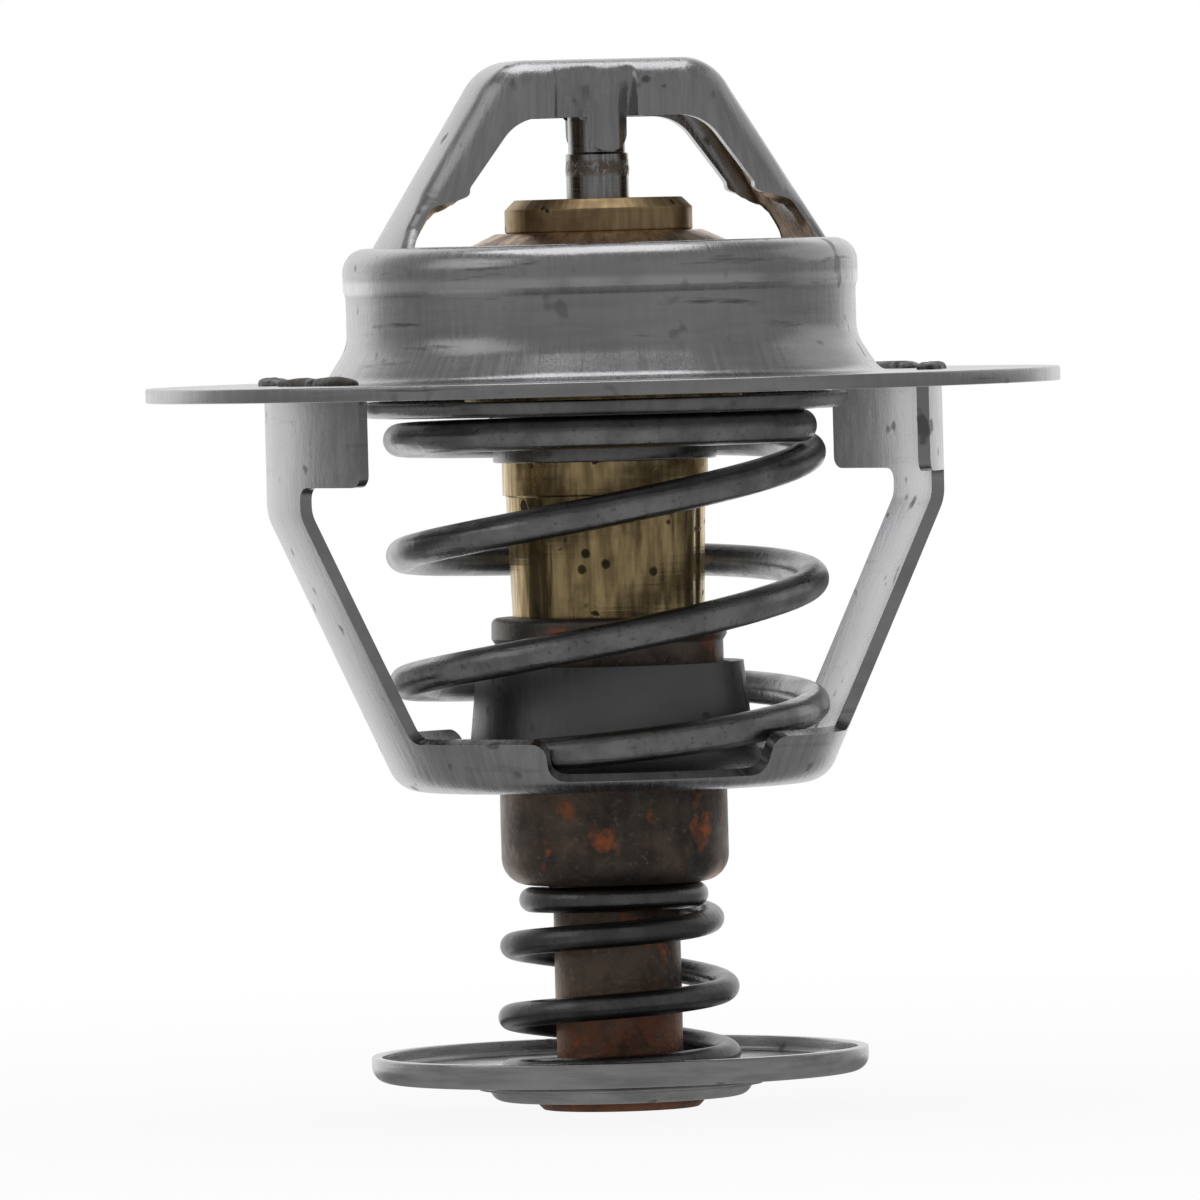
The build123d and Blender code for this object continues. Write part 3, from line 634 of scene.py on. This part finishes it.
def frame_points():
    """Outer face of the bowl: its profile turned about the axis, in three bands on either side.

    The first band reaches the arm's half angle (its half width over the radius), the second the
    lip's or the ear's, and the third a right angle, where the plate is round. Corners of the blank
    ease off in quarter circles. Points of a band that a row doesn't have are no numbers.
    """
    profile = rounded([(COLLAR_RADIUS, FRAME_LOW + COLLAR_HEIGHT), (COLLAR_FOOT_RADIUS, FRAME_LOW, 3.2),
                       (TRAY_RADIUS, FRAME_LOW, 2.0), (FRAME_RADIUS, KNEE_LEVEL, 3.0),
                       (FRAME_RADIUS, FRAME_TOP)], 0.3, 0.1)
    lengths = run_of(profile)
    outer = len(profile) // 3
    plate, lip, ear = np.interp([PLATE_TOP, LIP_TOP, EAR_LOW], profile[outer:, 1], lengths[outer:])
    bow = 1 - np.cos(np.linspace(0.35, np.pi / 2, 6))
    marks = np.concatenate([[plate, lip, ear], plate + LIP_FOOT_FILLET * bow, lip - LIP_CORNER * bow,
                            lip + ARM_FILLET * bow, ear - ARM_FILLET * bow, ear + EAR_CORNER * bow])
    spare = lengths[np.abs(lengths[:, None] - marks).min(1) > 0.05]
    run = np.unique(np.concatenate([spare, marks]))
    radius, height = (np.interp(run, lengths, profile[:, side]) for side in (0, 1))

    def eased(start, corner):
        """Angle by which a quarter circle of the corner's radius stands out at its start."""
        gone = np.clip(1 - np.abs(run - start) / corner, 0, 1)
        return corner * (1 - np.sqrt(1 - gone ** 2)) / radius

    arm = np.arcsin(ARM_HALF_WIDTH / np.maximum(radius, ARM_HALF_WIDTH + 0.1))
    arm = arm + np.where(run < ear, eased(ear, ARM_FILLET), ARM_FILLET / radius)
    arm = arm + np.where(run > lip, eased(lip, ARM_FILLET), ARM_FILLET / radius)
    foot = np.where(run > plate, eased(plate, LIP_FOOT_FILLET), LIP_FOOT_FILLET / radius)
    lobe = LIP_ANGLE - eased(lip, LIP_CORNER) + foot
    lobe = np.where(run < ear, lobe, EAR_ANGLE - eased(ear, EAR_CORNER))
    share = np.concatenate([np.linspace(0, 1, 21), np.linspace(1, 2, 27)[1:], np.linspace(2, 3, 13)[1:]])
    arm, lobe, row = arm[:, None], lobe[:, None], run[:, None]
    angle = arm * np.minimum(share, 1) + (lobe - arm) * np.clip(share - 1, 0, 1)
    angle = angle + (np.pi / 2 - lobe) * np.clip(share - 2, 0, 1)
    there = (share <= 1) | (share <= 2) & ((row <= lip) | (row >= ear)) | (row <= plate)
    angle = np.where(there, angle, np.nan)
    angle = np.concatenate([-angle[:, :0:-1], angle], 1)
    x = radius[:, None] * np.cos(angle)
    y = radius[:, None] * np.sin(angle)
    z = height[:, None] + 0 * angle
    return np.stack([x, y, z], -1)


points = frame_points()
points = np.stack([points, points * [-1, -1, 1]])
stirrup = surface("support_frame_sheet", points)
give_thickness(stirrup, FRAME_SHEET, 0.09)
# Inside 12.5 mm the tray and collar turn darker and rougher towards the middle.
frame_steel = drawn_steel("frame_steel", 30.0, 420.0, soil=0.5, marks=0.3, darker_within=(0.0095, 0.0125))
dress(stirrup, "frame", "frame_steel", frame_steel, "support_frame")


# --------------------------------------------------------------- tab heads
# The ends of the frame's four tabs come up through slots in the flange and are
# hammered over it to rough, scaly lumps.
TAB_RADIUS = 19.62
TAB_NEAR = np.radians(6.5)
TAB_FAR = np.radians(28)
TAB_HEIGHT = 0.48
TAB_SPREAD = 0.72
TAB_OVERHANG = 0.015
SCALE_BROWN = (0.10, 0.085, 0.07)


def squared(value, power):
    """Sine or cosine raised to a power below 1, with its sign kept, which squares a circle off."""
    return np.sign(value) * np.abs(value) ** power


def tab_head(middle, seed):
    """Lump along an arc: a squared-off ball whose long way follows the tab and whose lower half is sunk.

    A point is cos and sin of two angles raised to a small power, times the half sizes, plus ripples.
    """
    lift = np.linspace(-np.pi / 2, np.pi / 2, 26)[:, None]
    round_way = np.linspace(0, 2 * np.pi, 160, endpoint=False)[None, :]
    long_way = squared(np.cos(lift), 0.35) * squared(np.cos(round_way), 0.3)
    cross_way = squared(np.cos(lift), 0.6) * squared(np.sin(round_way), 0.5)
    up = squared(np.sin(lift), 0.7) + 0 * round_way
    angle = middle + long_way * ((TAB_FAR - TAB_NEAR) / 2 + TAB_OVERHANG)
    rough = ripple(seed, 2.2, angle * 20, up * 2, cross_way)
    coarse = ripple(seed + 1, 1.0, angle * 20)
    radius = TAB_RADIUS + cross_way * (TAB_SPREAD + 0.06 * coarse) + 0.05 * rough * np.cos(lift)
    height = FLANGE_SHEET + up * (TAB_HEIGHT + 0.07 * coarse) * (0.93 + 0.1 * rough)
    return np.stack([radius * np.cos(angle), radius * np.sin(angle), height], -1)


staked_steel, tree = painted("staked_steel")
place = places(tree)[0]
crumbs = noise(tree, place, 1500.0, 6.0, 0.7)
patches = noise(tree, place, 420.0, 3.0)
tone = blend(tree, band(tree, crumbs, 0.35, 0.65), 0.045, 0.30)
tone = blend(tree, band(tree, patches, 0.45, 0.60), tone, SCALE_BROWN)
metal(tree, tone, band(tree, crumbs, 0.3, 0.7, 0.65, 0.42), crumbs, 0.00016, 0.75)

for index, side in enumerate((0, 0, np.pi, np.pi)):
    middle = side + (TAB_NEAR + TAB_FAR) / 2 * (1 if index % 2 else -1)
    lump = surface(f"tab_head_{index}", tab_head(middle, 20 + index * 3), across=True)
    dress(lump, "frame", "frame_steel", staked_steel)


# ------------------------------------------------------------------ piston
# Ground steel pin held in the bridge's socket, stepped down at its tip, with a
# ring of scale where the coolant stood.
PISTON_LOW = -26.4
PISTON_TOP = 18.75
PISTON_RADIUS = 1.85
PISTON_TIP_RADIUS = 1.68
STEP_LEVEL = 14.0
SCALE_LEVEL = 13.2
SCALE_TAN = (0.42, 0.34, 0.25)


def lathe_lines(tree, height, count, axis):
    """Factor socket of fine tool lines round a piece, from a noise along one of its three axes."""
    steps = node(tree, "ShaderNodeCombineXYZ", {axis: times(tree, height, count)}).outputs[0]
    return noise(tree, steps, 1.0, 2.0)


profile = rounded([(0, PISTON_LOW), (1.5, PISTON_LOW, 0.05), (PISTON_RADIUS, -26.05, 0.05),
                   (PISTON_RADIUS, STEP_LEVEL, 0.05), (PISTON_TIP_RADIUS, STEP_LEVEL + 0.12, 0.05),
                   (PISTON_TIP_RADIUS, PISTON_TOP, 0.2), (0, PISTON_TOP)])
points = turned(profile, 96)
crust = np.exp(-((points[..., 2] - SCALE_LEVEL) / 0.16) ** 2)
crust = crust * np.clip(0.45 + ripple(31, 2.5, points[..., 0], points[..., 1]), 0, 1)
points[..., :2] *= (1 + 0.045 * crust)[..., None]
pin = surface("piston_pin", points, across=True)

piston_steel, tree = painted("piston_steel")
place, ring, _, height = places(tree, 8.0, 260.0)
lines = lathe_lines(tree, height, 5200.0, 2)
stain = noise(tree, ring, 1.0, 4.0, 0.6)
scale = noise(tree, place, 2600.0, 4.0, 0.7)
near_ring = times(tree, band(tree, height, 0.0126, 0.0131), band(tree, height, 0.0138, 0.0134))
crusty = times(tree, near_ring, band(tree, scale, 0.40, 0.58))
tone = blend(tree, band(tree, stain, 0.35, 0.68), 0.30, 0.58)
tone = blend(tree, crusty, tone, SCALE_TAN)
rough = plus(tree, band(tree, lines, 0.3, 0.7, 0.20, 0.30), times(tree, crusty, 0.4))
metal(tree, tone, rough, plus(tree, lines, times(tree, crusty, 3.0)), 0.00001)
dress(pin, "frame", "piston_steel", piston_steel, "piston")


# ------------------------------------------------------------- valve plate
# Brass dish under the guide's cap, whose flat rim closes against the hat's lip.
# Only its crown and golden slope show above the lip.
PLATE_SHEET = 0.55
PLATE_RADIUS = 13.3
PLATE_LEVEL = 7.86
PLATE_BORE = 4.82
PLATE_CROWN = 9.45
BRASS_DARK = (0.38, 0.27, 0.18)
BRASS_LIGHT = (0.66, 0.49, 0.34)
BRASS_STAIN = (0.24, 0.14, 0.09)

valve_brass, tree = painted("valve_brass")
place, ring, _, _ = places(tree, 14.0, 1500.0)
turns = noise(tree, ring, 1.0, 4.0, 0.6)
stain = noise(tree, place, 260.0, 4.0, 0.6)
tone = blend(tree, band(tree, turns, 0.35, 0.65), BRASS_DARK, BRASS_LIGHT)
tone = blend(tree, band(tree, stain, 0.50, 0.66), tone, BRASS_STAIN)
metal(tree, tone, band(tree, stain, 0.4, 0.7, 0.24, 0.42), turns, 0.00002)
outline = sheet_outline([(PLATE_RADIUS, PLATE_LEVEL), (9.5, PLATE_LEVEL, 1.0), (6.1, PLATE_CROWN, 1.0),
                         (PLATE_BORE, PLATE_CROWN)], PLATE_SHEET)
plate = surface("valve_dish", turned(outline, 224), across=True, along=True)
dress(plate, "element", "valve_brass", valve_brass, "valve_plate")


# ------------------------------------------------------------------- guide
# Turned brass body: a cap over the valve plate, a long barrel swaged in over
# the seal with upright creases, and a foot held in the copper cup.
BORE_RADIUS = 1.91
CAP_TOP = 11.4
CAP_RADIUS = 5.54
BARREL_RADIUS = 6.09
SHOULDER_RADIUS = 8.2
SHOULDER_TOP = 0.45
SHOULDER_LOW = -0.75
TAPER_TOP = -6.0
NECK_RADIUS = 5.68
CUP_TOP = -13.2
GUIDE_LOW = -16.7
GUIDE_DARK = (0.36, 0.265, 0.13)
GUIDE_LIGHT = (0.76, 0.57, 0.29)
GUIDE_STAIN = (0.17, 0.11, 0.06)
CAP_TAN = (0.40, 0.28, 0.17)
PIT_BROWN = (0.05, 0.04, 0.03)
# Upright creases of the swaging, each an angle and a width in radians and a depth in mm.
CREASES = ((-2.31, 0.05, 0.05), (-2.04, 0.035, 0.07), (-1.93, 0.03, 0.05), (-1.18, 0.03, 0.10),
           (-1.03, 0.04, 0.07), (-0.66, 0.05, 0.08), (-2.62, 0.06, 0.06), (0.4, 0.05, 0.08),
           (1.1, 0.05, 0.08), (1.9, 0.05, 0.08), (2.6, 0.05, 0.08), (-0.25, 0.05, 0.06))
# Places in mm of the few deep pits on the barrel's face.
PITS = ((-2.79, -5.08, -10.35), (-1.46, -5.61, -10.06), (1.43, -5.62, -10.6), (-2.57, -5.20, -9.4))

profile = rounded([(BORE_RADIUS, 9.2), (BORE_RADIUS, CAP_TOP, 0.05), (CAP_RADIUS - 0.6, CAP_TOP, 0.15),
                   (CAP_RADIUS, CAP_TOP - 0.6, 0.12), (CAP_RADIUS, PLATE_CROWN, 0.12),
                   (4.8, PLATE_CROWN, 0.05), (4.8, 8.9, 0.02), (5.69, 8.9, 0.02),
                   (BARREL_RADIUS, 8.5, 0.05), (BARREL_RADIUS, SHOULDER_TOP, 0.1),
                   (SHOULDER_RADIUS, SHOULDER_TOP, 0.05), (SHOULDER_RADIUS, SHOULDER_LOW, 0.1),
                   (BARREL_RADIUS, SHOULDER_LOW, 0.1), (BARREL_RADIUS, TAPER_TOP, 0.05),
                   (5.9, TAPER_TOP, 0.15), (NECK_RADIUS, CUP_TOP, 0.08), (NECK_RADIUS, -14.5, 0.02),
                   (6.1, -14.5, 0.02), (6.1, GUIDE_LOW, 0.02), (3.4, GUIDE_LOW, 0.1),
                   (BORE_RADIUS, GUIDE_LOW, 0.1), (BORE_RADIUS, 9.2)])
points = turned(profile, 252)
angle = np.arctan2(points[..., 1], points[..., 0])
on_barrel = np.clip((TAPER_TOP - 0.4 - points[..., 2]) / 0.7, 0, 1) * (points[..., 2] > CUP_TOP - 1)
on_barrel = on_barrel * (np.hypot(points[..., 0], points[..., 1]) > 5.0)
press = sum(deep * np.exp(-((angle - crease) / wide) ** 2) for crease, wide, deep in CREASES)
points[..., :2] *= (1 - on_barrel * press / BARREL_RADIUS)[..., None]
waves = ripple(41, 2.5, np.cos(angle) * 3, np.sin(angle) * 3)
points[..., :2] *= (1 + 0.002 * on_barrel * waves)[..., None]
guide = surface("guide_body", points, across=True)

guide_brass, tree = painted("guide_brass")
place, ring, _, height = places(tree, 13.0, 300.0, 0.005)
streaks = noise(tree, ring, 1.0, 3.5, 0.5)
stain = noise(tree, place, 190.0, 5.0, 0.6)
pits = band(tree, noise(tree, place, 700.0, 2.0, 0.5), 0.68, 0.73)
lines = lathe_lines(tree, height, 2600.0, 0)
tone = blend(tree, band(tree, streaks, 0.32, 0.68), GUIDE_DARK, GUIDE_LIGHT)
tone = blend(tree, band(tree, stain, 0.50, 0.70), tone, GUIDE_STAIN)
capped = band(tree, height, 0.0087, 0.0093)
tone = blend(tree, times(tree, capped, 0.5), tone, CAP_TAN)
for pit in PITS:
    apart = node(tree, "ShaderNodeVectorMath", {0: place, 1: np.array(pit) * MM}, operation="DISTANCE")
    pits = maths(tree, "MAXIMUM", pits, band(tree, apart.outputs["Value"], 0.00034, 0.00018))
tone = blend(tree, times(tree, pits, 0.85), tone, PIT_BROWN)
rough = plus(tree, band(tree, stain, 0.4, 0.7, 0.22, 0.38), times(tree, pits, 0.3))
rough = plus(tree, rough, times(tree, capped, 0.14))
relief = maths(tree, "SUBTRACT", plus(tree, streaks, times(tree, lines, 0.6)), pits)
metal(tree, tone, rough, relief, 0.00003)
dress(guide, "element", "guide_brass", guide_brass, "element_guide")


# ------------------------------------------------------------- spring seat
# Thin plated disc under the guide's shoulder, on which the closing spring bears,
# with an upturned rim and a drawn hub round the guide.
SEAT_SHEET = 0.5
SEAT_RADIUS = 13.95
SEAT_RIM_TOP = -0.3
HUB_RADIUS = 6.11
HUB_LOW = -4.05

outline = sheet_outline([(SEAT_RADIUS, SEAT_RIM_TOP), (SEAT_RADIUS, SHOULDER_LOW, 0.25),
                         (HUB_RADIUS, SHOULDER_LOW, 1.0), (HUB_RADIUS, HUB_LOW)], SEAT_SHEET)
seat = surface("spring_seat_disc", turned(outline, 256), across=True, along=True)
seat_steel = drawn_steel("seat_steel", 12.0, 300.0, dark=0.22, light=0.34)
dress(seat, "element", "disc_steel", seat_steel, "spring_seat")


# --------------------------------------------------------------- cup, stem
# Drawn copper cup with a rolled rim, closed below by the stem that carries the
# bypass disc. Coolant has browned it, with red, orange and green patches.
RIM_RADIUS = 6.95
CUP_BORE = 5.7
CUP_RADIUS = 6.72
CUP_LOW = -29.0
STEM_RADIUS = 3.74
STEM_FOOT = -41.7
STEM_LOW = -42.3
HEAD_RADIUS = 4.9
DIMPLE_LEVEL = -41.95
COPPER_DARK = (0.075, 0.066, 0.058)
COPPER_BROWN = (0.22, 0.165, 0.125)
MOTTLE_BROWN = (0.14, 0.11, 0.09)
CRUST_TAN = (0.34, 0.30, 0.25)
RIM_GREY = (0.19, 0.185, 0.17)
COPPER_RED = (0.66, 0.20, 0.08)
VERDIGRIS = (0.14, 0.24, 0.18)

profile = rounded([(CUP_BORE, CUP_TOP - 1.3), (CUP_BORE, CUP_TOP, 0.05), (RIM_RADIUS, CUP_TOP, 0.4),
                   (RIM_RADIUS, -14.45, 0.12), (CUP_RADIUS, -14.8, 0.2), (CUP_RADIUS, CUP_LOW, 1.6),
                   (STEM_RADIUS + 0.4, CUP_LOW, 0.15), (STEM_RADIUS, CUP_LOW - 0.4, 0.3),
                   (STEM_RADIUS, STEM_FOOT, 0.1), (HEAD_RADIUS, STEM_FOOT, 0.12),
                   (HEAD_RADIUS, STEM_LOW + 0.3, 0.15), (HEAD_RADIUS - 0.3, STEM_LOW, 0.12),
                   (2.0, STEM_LOW, 0.2), (1.0, DIMPLE_LEVEL, 0.2), (0, DIMPLE_LEVEL)])
points = turned(profile, 256)
waves = ripple(51, 0.35, points[..., 0], points[..., 1], points[..., 2] * 2)
points[..., :2] *= (1 + 0.0035 * waves)[..., None]
cup = surface("cup_and_stem", points, across=True)

cup_copper, tree = painted("cup_copper")
place, _, _, height = places(tree, 7.0, 420.0)
clouds = noise(tree, place, 230.0, 6.0, 0.62)
mottle = noise(tree, place, 900.0, 4.0, 0.6)
reds = noise(tree, place, 330.0, 4.0, 0.55)
greens = noise(tree, place, 520.0, 5.0, 0.6)
crust = noise(tree, place, 2400.0, 5.0, 0.7)
tone = blend(tree, band(tree, clouds, 0.38, 0.60), COPPER_DARK, COPPER_BROWN)
tone = blend(tree, band(tree, mottle, 0.38, 0.66, 0.0, 0.6), tone, MOTTLE_BROWN)
tone = blend(tree, band(tree, crust, 0.56, 0.70, 0.0, 0.5), tone, CRUST_TAN)
tone = blend(tree, band(tree, height, -0.0155, -0.0145, 0.0, 0.7), tone, RIM_GREY)
low_stem = band(tree, height, -0.0345, -0.0375)
redden = plus(tree, band(tree, reds, 0.58, 0.68, 0.0, 0.8), times(tree, low_stem, 0.35))
redden = times(tree, redden, band(tree, mottle, 0.35, 0.55, 0.35, 1.0))
tone = blend(tree, redden, tone, COPPER_RED)
tone = blend(tree, band(tree, greens, 0.64, 0.72, 0.0, 0.7), tone, VERDIGRIS)
relief = plus(tree, plus(tree, mottle, times(tree, greens, 0.5)), crust)
metal(tree, tone, band(tree, clouds, 0.3, 0.7, 0.50, 0.34), relief, 0.00005, 0.8)
dress(cup, "element", "cup_copper", cup_copper, "wax_cup")


# ------------------------------------------------------------- main spring
# Closing spring of oil-tempered wire between the seat disc and the frame's
# tray, its end coils closed and the last one drawn in to sit in the tray.
MAIN_WIRE = 0.97
MAIN_COIL = 12.1
MAIN_LAST_COIL = 10.75
MAIN_TURNS = 4.0
DRAWN_IN_TURNS = 1.3
COIL_STEPS = 84
WIRE_STEPS = 36
# Rounded face of a cut wire: share of the wire's radius, and mm past the end.
WIRE_END = ((0.0, 0.10), (0.5, 0.10), (0.88, 0.06), (1.0, 0.0))


def swell(share):
    """Half a cosine wave from 0 to 1 as the share goes from 0 to 1, flat before and after."""
    return (1 - np.cos(np.pi * np.clip(share, 0, 1))) / 2


def coiled(top, height, turns, top_end, low_end, start_angle, coil_radius, wire_radius, lean):
    """Round wire about a helix whose end coils are closed.

    Each end has a pair of numbers of turns: those that stay flat, and those over which the fall
    then grows along a cosine. Between the ends the coils lean sideways: the height gains the lean
    in mm times the cosine of the angle, faded as the fall is.

    The centreline is (R cos a, R sin a, z); the wire's section is a circle in the plane of the
    centreline's normal and binormal. Both ends are closed with a slightly rounded face.
    """
    share = np.linspace(0, 1, int(turns * COIL_STEPS) + 1)
    (top_flat, top_grown), (low_flat, low_grown) = top_end, low_end
    fall = swell((share * turns - top_flat) / top_grown)
    fall = fall * swell(((1 - share) * turns - low_flat) / low_grown)
    fallen = np.concatenate([[0], np.cumsum((fall[1:] + fall[:-1]) / 2)])
    angle = start_angle - 2 * np.pi * turns * share
    radius = coil_radius(share)
    level = top - height * fallen / fallen[-1] + lean * fall * np.cos(angle)
    line = np.stack([radius * np.cos(angle), radius * np.sin(angle), level], -1)
    way = np.gradient(line, axis=0)
    way /= np.linalg.norm(way, axis=1)[:, None]
    outward = np.stack([np.cos(angle), np.sin(angle), 0 * angle], -1)
    outward -= way * (outward * way).sum(1)[:, None]
    outward /= np.linalg.norm(outward, axis=1)[:, None]
    upward = np.cross(way, outward)

    size, past = np.array(WIRE_END).T[:, :, None]
    first, last = line[0] - way[0] * past, line[-1] + way[-1] * past
    line = np.concatenate([first, line, last[::-1]])
    thick = wire_radius * np.concatenate([size, np.ones((len(share), 1)), size[::-1]])
    outward, upward = (np.pad(side, ((len(size), len(size)), (0, 0)), mode="edge")
                       for side in (outward, upward))
    round_way = np.linspace(0, 2 * np.pi, WIRE_STEPS, endpoint=False)[None, :, None]
    section = outward[:, None] * np.cos(round_way) + upward[:, None] * np.sin(round_way)
    return line[:, None] + section * thick[:, None]


def spring_steel(name, dark, light):
    """Oil-tempered wire: nearly black, satin, with faint draw lines and lighter patches of wear."""
    made, tree = painted(name)
    place, _, radius, height = places(tree)
    across = node(tree, "ShaderNodeCombineXYZ", {0: times(tree, radius, 5200.0),
                                                 1: times(tree, height, 1500.0)}).outputs[0]
    draws = noise(tree, across, 1.0, 3.0, 0.6)
    clouds = noise(tree, place, 300.0, 4.0, 0.6)
    grain = noise(tree, place, 2600.0, 3.0, 0.6)
    tone = blend(tree, band(tree, clouds, 0.36, 0.68), dark, light)
    tone = blend(tree, band(tree, grain, 0.56, 0.72, 0.0, 0.5), tone, SPECK_BROWN)
    relief = plus(tree, draws, times(tree, grain, 0.9))
    metal(tree, tone, band(tree, clouds, 0.35, 0.7, 0.34, 0.26), relief, 0.00003)
    return made


def main_radius(share):
    """Coil radius in mm along the main spring, drawn in over its last turns."""
    left = (1 - share) * MAIN_TURNS / DRAWN_IN_TURNS
    return MAIN_LAST_COIL + (MAIN_COIL - MAIN_LAST_COIL) * swell(left)


points = coiled(top=-2.24, height=19.32, turns=MAIN_TURNS, top_end=(0.2, 0.85), low_end=(0.05, 1.5),
                start_angle=np.radians(-30), coil_radius=main_radius, wire_radius=MAIN_WIRE, lean=0.95)
spring = surface("main_spring_wire", points, across=True)
dress(spring, "frame", "spring_steel", spring_steel("spring_wire", 0.27, 0.43), "main_spring")
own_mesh(spring)


# ----------------------------------------------------------- bypass spring
# Lighter spring between the cup and the bypass disc, small round the stem at
# the top, where the cup's end stops it, and wide below on the disc.
BYPASS_WIRE = 0.75
BYPASS_COIL = 6.4
BYPASS_TOP_COIL = 4.7
BYPASS_TURNS = 4.1
WIDENED_TURNS = 2


def bypass_radius(share):
    """Coil radius in mm along the bypass spring, grown over its first turns."""
    gone = share * BYPASS_TURNS / WIDENED_TURNS
    return BYPASS_TOP_COIL + (BYPASS_COIL - BYPASS_TOP_COIL) * swell(gone)


points = coiled(top=-29.77, height=10.56, turns=BYPASS_TURNS, top_end=(0.0, 1.6), low_end=(0.0, 1.6),
                start_angle=0.0, coil_radius=bypass_radius, wire_radius=BYPASS_WIRE, lean=-0.3)
light_spring = surface("bypass_spring_wire", points, across=True)
bypass_wire = spring_steel("bypass_wire", 0.12, 0.20)
dress(light_spring, "element", "bypass_spring_steel", bypass_wire, "bypass_spring")
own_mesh(light_spring)


# ------------------------------------------------------------- bypass disc
# Dished steel disc with an upturned rim and a sunken boss, which rests on the
# stem's head and is free to slide up the stem against its spring.
DISC_SHEET = 0.6
DISC_RADIUS = 14.68
DISC_RIM_TOP = -38.9
DISC_LEVEL = -40.4
BOSS_RADIUS = 7.8
DISC_BORE = 3.8
DISC_WARP = 0.05

outline = sheet_outline([(DISC_BORE, STEM_FOOT), (BOSS_RADIUS, STEM_FOOT, 0.9),
                         (BOSS_RADIUS, DISC_LEVEL, 0.62), (DISC_RADIUS, DISC_LEVEL, 0.9),
                         (DISC_RADIUS, DISC_RIM_TOP)], DISC_SHEET)
points = turned(outline, 288)
points[..., 2] += DISC_WARP * ripple(61, 0.25, points[..., 0], points[..., 1])
dish = surface("bypass_dish", points, across=True, along=True)
# The greys are lighter than the other steel's, a painted reflection of the bright inside of the dish.
bypass_steel = drawn_steel("bypass_steel", 3.0, 2000.0, dark=0.42, light=0.66, soil=0.6)
dress(dish, "bypass", "bypass_steel", bypass_steel, "bypass_disc")


# ----------------------------------------------------------- hidden pieces
# Inside the element: the piston's seal, a hard washer, the rubber boot that the
# wax squeezes, and the wax itself. Each has a slot, two tones and a grain.
HIDDEN = (("piston_seal", "seal_rubber", 0.02, 0.05, 900.0),
          ("backing_washer", "washer_plastic", 0.70, 0.82, 700.0),
          ("rubber_boot", "boot_rubber", 0.02, 0.045, 800.0),
          ("wax_charge", "wax", (0.50, 0.36, 0.20), (0.74, 0.58, 0.36), 600.0))

for name, slot, dark, light, scale in HIDDEN:
    made, tree = painted(slot)
    grain = noise(tree, places(tree)[0], scale, 4.0)
    tone = blend(tree, grain, dark, light)
    metal(tree, tone, band(tree, grain, 0.3, 0.7, 0.7, 0.5), grain, 0.00003, 0.0)
    dress(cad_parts[name], "element", slot, made)
